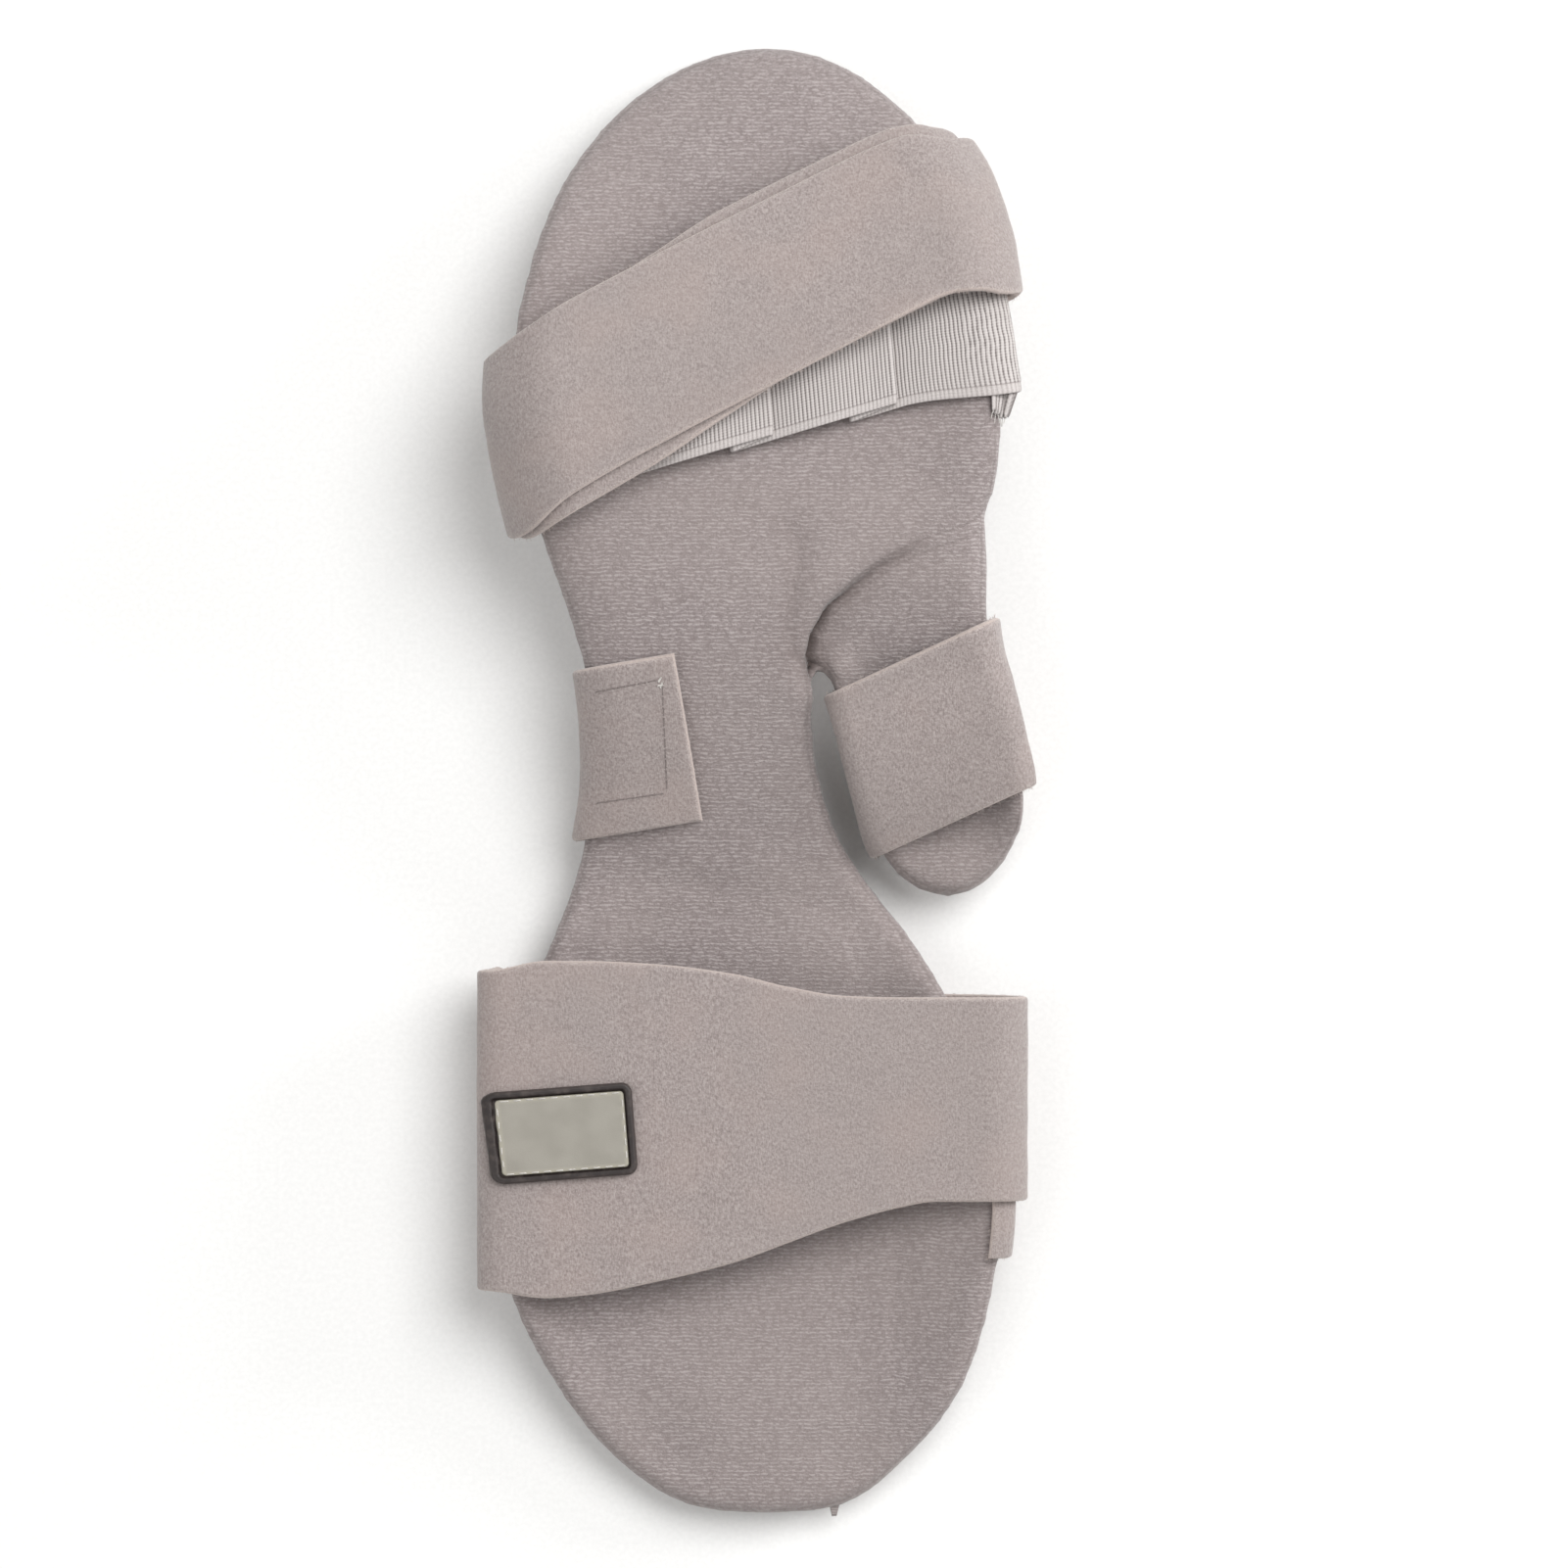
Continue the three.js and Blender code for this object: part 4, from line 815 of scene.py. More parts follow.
# %% [markdown]
# ## Seam and creases in the cover
# The cover is sewn shut with a fine seam that runs along the upper edge, two millimetres inside the outline.
# Two creases stand in the palm: a deep one where the palm bulges over the root of the thumb trough, and a
# soft one beside it, where the stay inside bends. Both are drawn as lines and pressed into the fine mesh. The
# distance to each line is kept on the points, so that the finish can draw a thin dark line where the mesh is
# too coarse for one. In the deep crease and in the dips beside both creases the finish paints shade.

# %% Lines in the palm
def pixel(x, y):
    """A place in the picture as a place on the table, before the frame's shift."""
    return (x - 773) * 0.2326, (796 - y) * 0.2326

PALM_CREASE = [pixel(*p) for p in (
    (833, 690), (829, 672), (832, 650), (846, 623), (871, 601), (895, 582), (920, 568), (944, 558),
    (958, 553),
)]
SOFT_CREASE = [pixel(*p) for p in (
    (786, 508), (793, 523), (805, 542), (815, 558), (811, 603), (807, 654), (812, 672), (824, 684),
)]

def to_line(places, line):
    """Plan distance to a line, positive on its left, and the share of its length at the nearest place."""
    line = np.array(line)
    lengths = np.linalg.norm(np.diff(line, axis=0), axis=1)
    starts = np.concatenate([[0], np.cumsum(lengths)])
    best = np.full(len(places), 1e9)
    side, share = np.ones(len(places)), np.zeros(len(places))
    for k, (a, b) in enumerate(zip(line[:-1], line[1:])):
        t = np.clip(((places - a) @ (b - a)) / lengths[k] ** 2, 0, 1)
        gap = places - a - t[:, None] * (b - a)
        distance = np.linalg.norm(gap, axis=1)
        nearer = distance < best
        best = np.where(nearer, distance, best)
        turn = (b - a)[0] * gap[:, 1] - (b - a)[1] * gap[:, 0]
        side = np.where(nearer, np.where(turn < 0, -1, 1), side)
        share = np.where(nearer, (starts[k] + t * lengths[k]) / starts[-1], share)
    return best * side, share

def bell(distance, width):
    return np.exp(-((distance / width) ** 2))

print("creases are drawn through", len(PALM_CREASE), "and", len(SOFT_CREASE), "places")

# %% [markdown]
# ## Root of the thumb trough
# The two troughs met in a sharp step along the palm's outline. There the cover is one piece of fabric, so
# the step is smoothed away, less and less towards the notch, where the photograph shows it deep. Where the
# palm's side runs into the thumb trough's, the outline becomes one easy curve.

# %% Melting the root into the palm
def melted(piece, weight, rounds):
    """Smooths the points of a piece by a weight for each."""
    edges = read(piece.data.edges, "vertices", np.int32, 2)
    edges = np.concatenate([edges, edges[:, ::-1]])
    places = points_of(piece)
    count = np.bincount(edges[:, 0], minlength=len(places))[:, None]
    for _ in range(rounds):
        total = np.stack([np.bincount(edges[:, 0], places[edges[:, 1], k], len(places)) for k in range(3)], 1)
        places = places + weight[:, None] * (total / count - places)
    set_points(piece, places)

FLAT = (1, 1, 0)
skin_points, skin_normals = points_of(skin), normals_of(skin)
from_step = nearest(skin_points * FLAT, body_rim[covered] * FLAT)
towards_palm = smoothly(skin_points[:, 1], 24, 40) * smoothly(skin_normals[:, 2], 0, 0.4)
melted(skin, 0.5 * bell(from_step, 5.5) * towards_palm, rounds=60)
corner = np.array([*pixel(1000, 530), 24])
from_corner = np.linalg.norm((points_of(skin) - corner) * (1, 1, 0.6), axis=1)
melted(skin, 0.5 * bell(from_corner, 8), rounds=140)
print("melted points:", int((from_step < 5).sum()))

# %% Pressing the seam and creases in
SEAM_INSET = 1.5
# Depth and half width of each.
SEAM_GROOVE, DEEP_GROOVE, SOFT_DIP, SOFT_GROOVE = (0.15, 0.7), (2.1, 0.95), (0.95, 4.2), (0.35, 1.4)
PALM_BULGE, ROOT_DIP = (0.9, 4.2), (0.8, 3.4)

def groove(distance, shape):
    depth, width = shape
    return depth * bell(distance, width)

skin_points, skin_normals = points_of(skin), normals_of(skin)
facing_up = smoothly(skin_normals[:, 2], -0.15, 0.25)
seam = nearest(skin_points * FLAT, rim_cloud * FLAT) - SEAM_INSET + 6 * (1 - facing_up)
palm, palm_share = to_line(skin_points[:, :2], PALM_CREASE)
soft, soft_share = to_line(skin_points[:, :2], SOFT_CREASE)
palm_fade = smoothly(palm_share, 1.0, 0.72) * (0.45 + 0.55 * smoothly(palm_share, 0.75, 0.1)) * facing_up
soft_fade = smoothly(soft_share, 0, 0.22) * (0.6 + 0.4 * smoothly(soft_share, 0.5, 0.95)) * facing_up
# The palm's side of the crease swells over it, the thumb's side starts low.
bulge = np.where(palm > 0, groove(palm - 4.5, PALM_BULGE), -groove(palm + 1.2, ROOT_DIP))
press = (
    groove(seam, SEAM_GROOVE)
    + palm_fade * (groove(palm, DEEP_GROOVE) - bulge)
    + soft_fade * (groove(soft, SOFT_DIP) + groove(soft, SOFT_GROOVE))
)
x, y = skin_points[:, 0], skin_points[:, 1]
quilt = 0.16 * wave(x, y, 11) + 0.07 * wave(2.6 * x, 2.6 * y, 12)
set_points(skin, skin_points + skin_normals * (quilt - press)[:, None])
keep(skin, "seam", seam)
keep(skin, "rows", smoothly(abs(skin_normals[:, 1]), 0.8, 0.35))  # they fade where the skin faces the ends
# Painted shade: the finish darkens the cover in the deep crease and in the dips beside both creases.
keep(skin, "crease", palm_fade * bell(palm, 1.15))
keep(skin, "hollow", palm_fade * bell(palm + 1.6, 3.6) * 0.8 + soft_fade * bell(soft, 4.0) * 0.75)
print("deepest press:", round(float(press.max()), 2), "mm")

# %% [markdown]
# ## Straps
# The straps are brushed loop fabric laminated on thin foam: 40 mm webbing at the fingers, thumb and wrist,
# and one cut to a wide curved shape at the forearm. A cloth simulation isn't needed, since they are drawn
# tight. Their cut edges are rounded, and a slight unevenness keeps them from looking like sheet metal.

# %% Room under the straps
STAND = 1.5  # how far a strap stands off a trough's floor at its front

def close(s, side, share):
    return EASE + 0 * s

def standing(side, share):
    return np.where(side < 0, 0, STAND * (1 - smoothly(abs(share), 0.85, 1)))

def band(middle, half):
    """Edges of straight webbing."""
    return lambda turn: (0 * turn + middle - half, 0 * turn + middle + half)

def flat_level(turn):
    return 0 * turn

WEBBING = 40
plain_edges = band(0, WEBBING / 2)
print("straps stand up to", STAND + EASE, "mm off the cover")

# %% Forearm strap
# across lower upper
STRAP_SHAPE = np.array([
    (-2, -0.68, 0.2), (-1.05, -0.68, 0.2), (-0.82, -0.733, 0.274), (-0.67, -0.711, 0.274),
    (-0.39, -0.607, 0.25), (-0.1, -0.467, 0.18), (0.12, -0.311, 0.08), (0.34, -0.156, 0.012),
    (0.56, -0.044, 0), (0.7, 0, 0), (2, 0, 0),
])

NARROW, GROWN, STRAP_Y, WIDEST_Y = 48.6, 31.4, -0.2147 * PAD_LENGTH, -0.275 * PAD_LENGTH
lower_growth, upper_growth = curve(STRAP_SHAPE, 1), curve(STRAP_SHAPE, 2)
forearm_wrap = Wrap(
    body, x=0, y=STRAP_Y, turned=0, low=-48, high=34, lines=30,
    room=lambda s, side, share: EASE + standing(side, share) + LAYER * smoothly(s / HALF_FOREARM, 0.62, 0.74),
    stiff_at=WIDEST_Y - STRAP_Y,
)

def forearm_edges(turn):
    front = abs(turn) < 0.3
    x = forearm_wrap.lookup(0 * turn, turn, 0 * turn)[:, 0]
    across = np.where(front, x / HALF_FOREARM, 2 * np.sign(turn))
    return -NARROW / 2 + GROWN * lower_growth(across), NARROW / 2 + GROWN * upper_growth(across)

def forearm_level(turn):
    return LAYER * smoothly(-turn, 0.265, 0.325)

forearm_strap = strap(
    "forearm_closing_strap", forearm_wrap, start=0.665, end=-0.362,
    edges=forearm_edges, level=forearm_level, seed=2,
)
print("forearm strap:", len(forearm_strap.data.polygons), "faces")

# %% Anchor tab under the forearm strap
TAB_FROM, TAB_TO, HALF_TAB = 56, 79.5, 19
under_forearm = Wrap(body, x=0, y=STRAP_Y, turned=0, low=-48, high=34, lines=16, room=close)
tab_q = (-0.2684 + 0.2147) * PAD_LENGTH
tab_line = under_forearm.near(tab_q)
tab_turns = [float(under_forearm.turn_at(length, tab_line)) for length in (TAB_FROM, TAB_TO)]
anchor = strap("forearm_anchor_tab", under_forearm, *tab_turns, band(tab_q, HALF_TAB), flat_level, 3, tab_q)
print("anchor tab:", len(anchor.data.polygons), "faces")

# %% Finger strap
# along lower upper
FINGER_EDGES = np.array([
    (0.5, -0.5, 0.5), (0.66, -0.53, 0.48), (0.75, -0.645, 0.4), (0.825, -0.63, 0.42), (0.88, -0.605, 0.46),
    (0.94, -0.54, 0.52), (1, -0.49, 0.575), (1.1, -0.49, 0.575), (1.16, -0.56, 0.53), (1.25, -0.64, 0.36),
    (1.34, -0.54, 0.47), (1.42, -0.5, 0.5), (1.58, -0.5, 0.5), (1.67, -0.53, 0.47), (1.75, -0.61, 0.417),
    (1.825, -0.54, 0.455), (1.88, -0.515, 0.49), (2, -0.5, 0.505), (2.086, -0.49, 0.505),
    (2.13, -0.56, 0.48), (2.18, -0.66, 0.35), (2.25, -0.67, 0.29), (2.34, -0.54, 0.46), (2.42, -0.5, 0.5),
])
LOOP_STACK, LOOP_END = EASE + STAND + 0.75 + 3 * 1.55, 2 * EASE + 1.2
finger_wrap = Wrap(
    body, x=3, y=0.324 * PAD_LENGTH, turned=27.3, low=-27, high=23.2, lines=18,
    room=lambda s, side, share: np.where(
        side < 0, LOOP_END, LOOP_STACK + (LOOP_END - LOOP_STACK) * smoothly(abs(share), 0.8, 1)
    ),
)
finger_lower, finger_upper = curve(FINGER_EDGES, 1), curve(FINGER_EDGES, 2)
finger_strap = strap(
    "finger_closing_strap", finger_wrap, start=0.59, end=2.42,
    edges=lambda turn: (WEBBING * finger_lower(turn), WEBBING * finger_upper(turn)),
    level=lambda turn: LAYER * smoothly(turn, 1.4, 1.57), seed=4,
)
print("finger strap:", len(finger_strap.data.polygons), "faces")

# %% Thumb and wrist straps
thumb_wrap = Wrap(
    thumb, x=THUMB_X, y=0.0288 * PAD_LENGTH, turned=24.6, low=-20, high=20, lines=12,
    room=lambda s, side, share: EASE + standing(side, share),
)
thumb_strap = strap(
    "thumb_closing_strap", thumb_wrap, start=-0.44, end=0.64, edges=plain_edges,
    level=lambda turn: LAYER * smoothly(turn, 0.38, 0.53), seed=5,
)
wrist_wrap = Wrap(body, x=-13.7, y=0.0297 * PAD_LENGTH, turned=9.5, low=-20, high=20, lines=12, room=close)
wrist_strap = strap(
    "wrist_tab_strap", wrist_wrap, start=-0.011, end=-0.6, edges=plain_edges, level=flat_level, seed=6
)
print("thumb and wrist straps:", len(thumb_strap.data.polygons), len(wrist_strap.data.polygons), "faces")

# %% [markdown]
# ## Elastic finger loops
# One ribbed elastic band crosses the pan and is folded back on itself three times, so that it makes four
# loops, one for each finger. The way of the band is drawn once, as lengths along the pan and heights above
# it: a low arch for a loop, then a tight pleat. The ribs stand across the band, a millimetre apart, and are
# real relief, because in the photograph they are the strongest texture on the object.

# %% Way of the elastic band
BAND_WIDTH, BAND_THICKNESS, TUCK, BULGE, SLIP, RIB_LEAN = 38, 1.2, 12, 1.5, 1.5, 9
PLEATS = ((0.395, 0.591), (-0.107, 0.062), (-0.662, -0.52))  # fold and turn, in shares of half the pan
elastic_wrap = Wrap(body, x=0, y=0.224 * PAD_LENGTH, turned=14.3, low=-SLIP, high=BAND_WIDTH + SLIP, lines=16)
middle_line = elastic_wrap.near(BAND_WIDTH / 2)

def band_way():
    layer = BAND_THICKNESS + LAYER_GAP
    ground, radius = EASE + BAND_THICKNESS / 2, layer / 2
    way = []

    def add(length, height, slip, side=0.0, share=0.0):
        way.append((length, height, SLIP * slip, side, share))

    def loop(start, high, end, side, shares):
        for i in range(1, 31):
            t = (1 - math.cos(math.pi * i / 30)) / 2
            height = high + (ground - high) * t * t * (3 - 2 * t) + BULGE * math.sin(math.pi * t) ** 2
            add(start + (end - start) * t, height, 0.5 - t, side, shares[0] + (shares[1] - shares[0]) * t)

    def bend(middle, height, way_out, slip):
        for i in range(1, 13):
            angle = math.pi * i / 12
            add(middle + way_out * radius * math.sin(angle), height - radius * math.cos(angle), slip)

    thumb_side = elastic_wrap.rim_length(middle_line, 1)
    other_side = elastic_wrap.rim_length(middle_line, -1)
    for i in range(13):
        add(thumb_side + TUCK * (1 - i / 12), ground, 0.5, 1, 1)
    start, high, shares = thumb_side, ground, (1, 0)
    for fold, turn in PLEATS:
        loop(start, high, fold * HALF_PAN + radius, 1, shares)
        bend(fold * HALF_PAN + radius, ground + radius, -1, -0.5)
        add((fold + turn) / 2 * HALF_PAN, ground + layer, 0)
        add(turn * HALF_PAN - radius, ground + layer, 0.5)
        bend(turn * HALF_PAN - radius, ground + layer + radius, 1, 0.5)
        start, high, shares = turn * HALF_PAN - radius, ground + 2 * layer, (0, 0)
    loop(start, high, other_side, -1, (0, 1))
    for i in range(1, 13):
        add(other_side - TUCK * i / 12, ground, -0.5, -1, 1)
    return np.array(way, float)

way = band_way()
run = np.concatenate([[0], np.cumsum(np.hypot(*np.diff(way[:, :2], axis=0).T))])
print("elastic band:", round(float(run[-1])), "mm long")

# %% Slack of the first loop
SLACK = np.array([3.6, -3.6, 0])

def slack(points, q):
    """The index finger's loop is slack: its lower edge hangs out over the pan's rim and a little down."""
    low = 1 - 0.85 * np.clip(q / BAND_WIDTH, 0, 1)
    amount = smoothly(points[..., 0], 34, 60) * low
    return points + amount[..., None] * SLACK

print("slack edge hangs out", round(float(np.linalg.norm(SLACK)), 1), "mm")

# %% Elastic band
def elastic_band():
    """The band with its cords a millimetre apart and its flat selvages."""
    along = np.linspace(0, run[-1], int(run[-1] / 0.25))
    length, height, slip, side, share = (np.interp(along, run, way[:, k])[:, None] for k in range(5))
    step_l, step_h = np.gradient(length[:, 0])[:, None], np.gradient(height[:, 0])[:, None]
    size = np.hypot(step_l, step_h)
    across = edge_steps(BAND_WIDTH, 1.3, (0, 0.12, 0.35, 0.7, 1.2, 2.0, 2.5))
    q = across + slip
    rims = [np.array([elastic_wrap.rim_length(k, s) for k in range(len(elastic_wrap.q))]) for s in (1, -1)]
    shift = [np.interp(q, elastic_wrap.q, r) - r[middle_line] for r in rims]
    rim_shift = np.where(side > 0, shift[0], shift[1])
    lean = q * math.tan(math.radians(RIB_LEAN))
    leaned = lean + share * (rim_shift - lean)
    edge = np.minimum(across, BAND_WIDTH - across)
    ribbed = smoothly(edge, 1.6, 2.4)
    cord = abs(np.sin(np.pi * along))[:, None] ** 0.8
    half = BAND_THICKNESS / 2 * round_edge(edge, 0.5) * (0.62 + 0.38 * ribbed * cord)
    half = half * np.clip(np.minimum(along, run[-1] - along)[:, None] / 0.3, 0, 1)
    sides = []
    for out in (half, -half):
        at, up = length + leaned - out * step_h / size, height + out * step_l / size
        sides.append(slack(elastic_wrap.lookup_along(q, at, up), q))
    upper, lower = sides
    return between("elastic_finger_loops", upper, lower, rim=edge, along=along[:, None], across=across)

loops = elastic_band()
print("elastic:", len(loops.data.polygons), "faces")

# %% [markdown]
# ## Label patch
# A moulded rubber rim frames a bare face. It's sewn on the forearm strap and bends with it round the
# trough's rim, so it's laid out on the strap's own lengths. Its height depends only on the distance from its
# outline, which gives the raised border and its rounded corners at once.

# %% Label
LABEL_LENGTH, LABEL_WIDTH, LABEL_X, LABEL_Y, LABEL_TURNED = 34, 22, -45.9, -0.2373 * PAD_LENGTH, 4.5
LABEL_CORNER, LABEL_RIM, LABEL_BASE, LABEL_LIP, LABEL_GAP = 2.5, 1.7, 0.8, 1.0, 0.4

def on_label(a, b, height):
    """A point of the label: lengths from its middle, height above the strap."""
    cos, sin = math.cos(math.radians(LABEL_TURNED)), math.sin(math.radians(LABEL_TURNED))
    q = LABEL_Y - STRAP_Y + a * sin + b * cos
    length = LABEL_X + a * cos - b * sin
    turn = forearm_wrap.turn_at(length, forearm_wrap.near(LABEL_Y - STRAP_Y))
    return forearm_wrap.lookup_along(q, length, forearm_level(turn) + STRAP_THICKNESS + LABEL_GAP + height)

print("label:", LABEL_LENGTH, "by", LABEL_WIDTH, "mm")

# %% Plates of the label
def plate(name, length, width, corner, low, high):
    """A plate with round corners: high gives its outer height at a distance from its outline."""
    near = (0, 0.06, 0.16, 0.3, 0.5, 0.8, 1.1, 1.35, 1.5, 1.6, 1.7, 1.85, 2.1, 2.5)
    a = edge_steps(length, 0.7, near) - length / 2
    b = edge_steps(width, 0.7, near) - width / 2
    a, b = np.meshgrid(a, b, indexing="ij")
    da, db = abs(a) - length / 2 + corner, abs(b) - width / 2 + corner
    in_corner = (da > 0) & (db > 0)
    pull = np.where(in_corner, np.maximum(da, db) / np.maximum(np.hypot(da, db), 1e-9), 1)
    a = np.where(in_corner, np.sign(a) * (length / 2 - corner + da * pull), a)
    b = np.where(in_corner, np.sign(b) * (width / 2 - corner + db * pull), b)
    da, db = np.maximum(abs(a) - length / 2 + corner, 0), np.maximum(abs(b) - width / 2 + corner, 0)
    edge = corner - np.hypot(da, db)
    edge = np.where((da > 0) | (db > 0), edge, np.minimum(length / 2 - abs(a), width / 2 - abs(b)))
    edge[[0, -1], :], edge[:, [0, -1]] = 0, 0
    upper, lower = on_label(a, b, high(np.maximum(edge, 0))), on_label(a, b, 0 * a + low)
    return between(name, upper, lower, edge <= 0, rim=edge)

def frame_height(edge):
    inner = smoothly(edge, LABEL_RIM + 0.15, LABEL_RIM - 0.35)
    return 0.35 + round_edge(edge, 0.5) * (LABEL_BASE - 0.35 + LABEL_LIP * inner)

def face_height(edge):
    return LABEL_BASE + 0.35 + 0.4 * round_edge(edge, 0.4)

frame_rim = plate("label_rubber_frame", LABEL_LENGTH, LABEL_WIDTH, LABEL_CORNER, 0, frame_height)
inset = 2 * (LABEL_RIM + 0.25)
face = plate("label_bare_face", LABEL_LENGTH - inset, LABEL_WIDTH - inset, 1.0, LABEL_BASE + 0.1, face_height)
print("label:", len(frame_rim.data.polygons) + len(face.data.polygons), "faces")

# %% [markdown]
# ## Stitches
# A stitch shows as a short thread that dives into the fabric at both ends. One is made as a bent grain of
# thread, and a row of them follows a line on the piece that it sews.

# %% Rows of stitches
THREAD_RINGS, THREAD_SIDES = 7, 6

def one_thread(spine, normal, radius):
    """Points of a thread that dives into the fabric at both ends."""
    share = np.linspace(-1, 1, THREAD_RINGS)[:, None]
    spine = spine + normal * (radius * (0.55 - 1.5 * share**4))
    side = np.cross(np.gradient(spine, axis=0), normal)
    side /= np.linalg.norm(side, axis=1, keepdims=True)
    thick = radius * np.sqrt(np.maximum(1 - share**4 * 0.75, 0.1))
    angle = (2 * np.pi * np.arange(THREAD_SIDES) / THREAD_SIDES)[:, None, None]
    ring = spine + thick * (side * np.cos(angle) + normal * np.sin(angle))
    return ring.swapaxes(0, 1).reshape(-1, 3)

def stitches(name, rows, pitch, length, radius, surface):
    """Rows of threads. surface(u, v) gives a point and its normal for a place in a row."""
    points, faces = [], []
    for row in rows:
        row = np.asarray(row, float)
        run_along = np.concatenate([[0], np.cumsum(np.linalg.norm(np.diff(row, axis=0), axis=1))])
        count = max(1, round(run_along[-1] / pitch))
        for i in range(count):
            at = (i + 0.5) * run_along[-1] / count + np.linspace(-length / 2, length / 2, THREAD_RINGS)
            at = np.clip(at, 0, run_along[-1])
            places = zip(*[np.interp(at, run_along, row[:, k]) for k in (0, 1)])
            spine, normal = (np.array(part) for part in zip(*[surface(*place) for place in places]))
            first = len(points)
            points.extend(one_thread(spine, normal, radius))
            faces += quads(THREAD_RINGS, THREAD_SIDES, first)
            faces.append(tuple(first + j for j in range(THREAD_SIDES))[::-1])
            faces.append(tuple(range(len(points) - THREAD_SIDES, len(points))))
    return mesh_object(name, points, faces)

print("a thread has", THREAD_RINGS * THREAD_SIDES, "points")

# %% Stitches on the wrist tab and the label
def dropped_on(piece):
    """Looks straight down on a piece."""
    faces = [tuple(face.vertices) for face in piece.data.polygons]
    surface = BVHTree.FromPolygons(points_of(piece).tolist(), faces)

    def at(x, y):
        place, normal, _, _ = surface.ray_cast((x, y, 200), (0, 0, -1))
        return np.array(place), np.array(normal)

    return at

tab_rows = [
    [pixel(609, 707), pixel(672, 695)], [pixel(677, 700), pixel(681, 806)],
    [pixel(678, 810), pixel(609, 820)],
]
on_tab = dropped_on(wrist_strap)
tab_stitches = stitches("wrist_tab_stitches", tab_rows, pitch=2.4, length=2.0, radius=0.26, surface=on_tab)
end_rows = [
    [pixel(675, 703), pixel(677, 697)], [pixel(673, 697), pixel(676, 692)],
    [pixel(672, 701), pixel(678, 700)],
]
thread_end = stitches("wrist_thread_end", end_rows, pitch=9.0, length=1.5, radius=0.3, surface=on_tab)

def label_surface(a, b):
    low, high = on_label(a, b, LABEL_BASE + 0.75), on_label(a, b, LABEL_BASE + 1.75)
    return low, high - low

STITCH_INSET = 2.35
half_a, half_b = LABEL_LENGTH / 2 - STITCH_INSET, LABEL_WIDTH / 2 - STITCH_INSET
label_rows = [
    [(-half_a, half_b), (half_a, half_b)], [(half_a, half_b - 1), (half_a, -half_b + 1)],
    [(half_a, -half_b), (-half_a, -half_b)], [(-half_a, -half_b + 1), (-half_a, half_b - 1)],
]
label_stitches = stitches(
    "label_stitches", label_rows, pitch=3.0, length=2.0, radius=0.17, surface=label_surface
)
print("stitches:", len(tab_stitches.data.polygons) + len(label_stitches.data.polygons), "faces")

# %% [markdown]
# ## Cut end of the elastic
# Below the first loop the end of the band peeks out at the pan's edge. It was cut and not hemmed, so it
# frays: a small uneven flap that lies over the rim, with a few loose threads along its cut.

# %% Cut end
FLAP_WIDTH, FLAP_LENGTH = 7, 4

def unit_grid(rows, columns):
    return np.meshgrid(np.linspace(0, 1, rows), np.linspace(0, 1, columns), indexing="ij")

def spread(corners, a, b):
    """Places between four corners that go round: a along the first side, b away from it."""
    a, b = a[..., None], b[..., None]
    top = corners[0] * (1 - a) + corners[1] * a
    low = corners[3] * (1 - a) + corners[2] * a
    return top + (low - top) * b

def over_rim(x, y):
    """Height of the pad's skin, or of its rim where there is no pad below."""
    on_pad = body.inside(x, y)
    return np.where(on_pad, body.height(x, y, 1), body.middle(x, y))

def cut_end():
    """The flap, and the middle grid that its loose threads start from."""
    corners = np.array([pixel(*p) for p in ((1010, 404), (1037, 403), (1029, 426), (1011, 421))])
    a, b = unit_grid(40, 22)
    torn = 0.1 * np.sin(a * 41) + 0.07 * np.sin(a * 97 + 1) + 0.22 * np.sin(a * 3.1)
    flat = spread(corners, a, b * (1 + torn))
    z = over_rim(flat[..., 0], flat[..., 1])
    for _ in range(12):
        z[1:-1, 1:-1] = (z[:-2, 1:-1] + z[2:, 1:-1] + z[1:-1, :-2] + z[1:-1, 2:]) / 4
    middle = np.concatenate([flat, (z + 0.8 + 0.25 * np.sin(a * 19))[..., None]], -1)
    normal = grid_normals(middle)
    normal = normal * np.sign(normal[..., 2:] + 1e-9)
    edge = np.minimum(np.minimum(a, 1 - a) * FLAP_WIDTH, np.minimum(b, 1 - b) * FLAP_LENGTH)
    half = 0.45 * round_edge(edge, 0.4)
    kept = {"rim": edge + 2.5, "along": a * FLAP_WIDTH, "across": b * FLAP_LENGTH}  # the finish's ribbed part
    return pillow("elastic_cut_end", middle, normal, half, **kept), middle

flap, flap_grid = cut_end()
print("cut end:", len(flap.data.polygons), "faces")

# %% Loose threads of the cut
def above_rim(x, y):
    return np.array([x, y, float(over_rim(np.array(x), np.array(y))) + 0.7]), np.array([0.0, 0.0, 1.0])

loose = []
for k in range(2, 38, 3):
    x, y, _ = flap_grid[k, -2]
    loose.append([(x, y), (x + 0.5 * math.sin(k * 2.3), y - 1.6 - 0.7 * math.sin(k))])
fray = stitches("elastic_fray", loose, pitch=20, length=2.1, radius=0.09, surface=above_rim)
print("loose threads:", len(loose))

# %% [markdown]
# ## End of the seam tape
# The tape that binds the seam inside the cover sticks out at the elbow end as a small point. It starts inside
# the padding, so that it never shows a gap, and narrows to its cut.

# %% Tape end
def tape_end():
    a, b = unit_grid(14, 18)
    flat = spread(np.array([pixel(*p) for p in ((843, 1526), (863, 1526), (855, 1558), (850, 1558))]), a, b)
    z = 9.0 + 0.25 * np.sin(3 * a + 2 * b) - 0.4 * b**2
    middle = np.concatenate([flat, z[..., None]], -1)
    edge = np.minimum(np.minimum(a, 1 - a) * (4.6 - 3.4 * b), np.minimum(b, 1 - b) * 7.4)
    return pillow("seam_tape_end", middle, np.zeros_like(middle) + (0, 0, 1), 0.42 * round_edge(edge, 0.35))

tape_tip = tape_end()
print("tape end:", len(tape_tip.data.polygons), "faces")

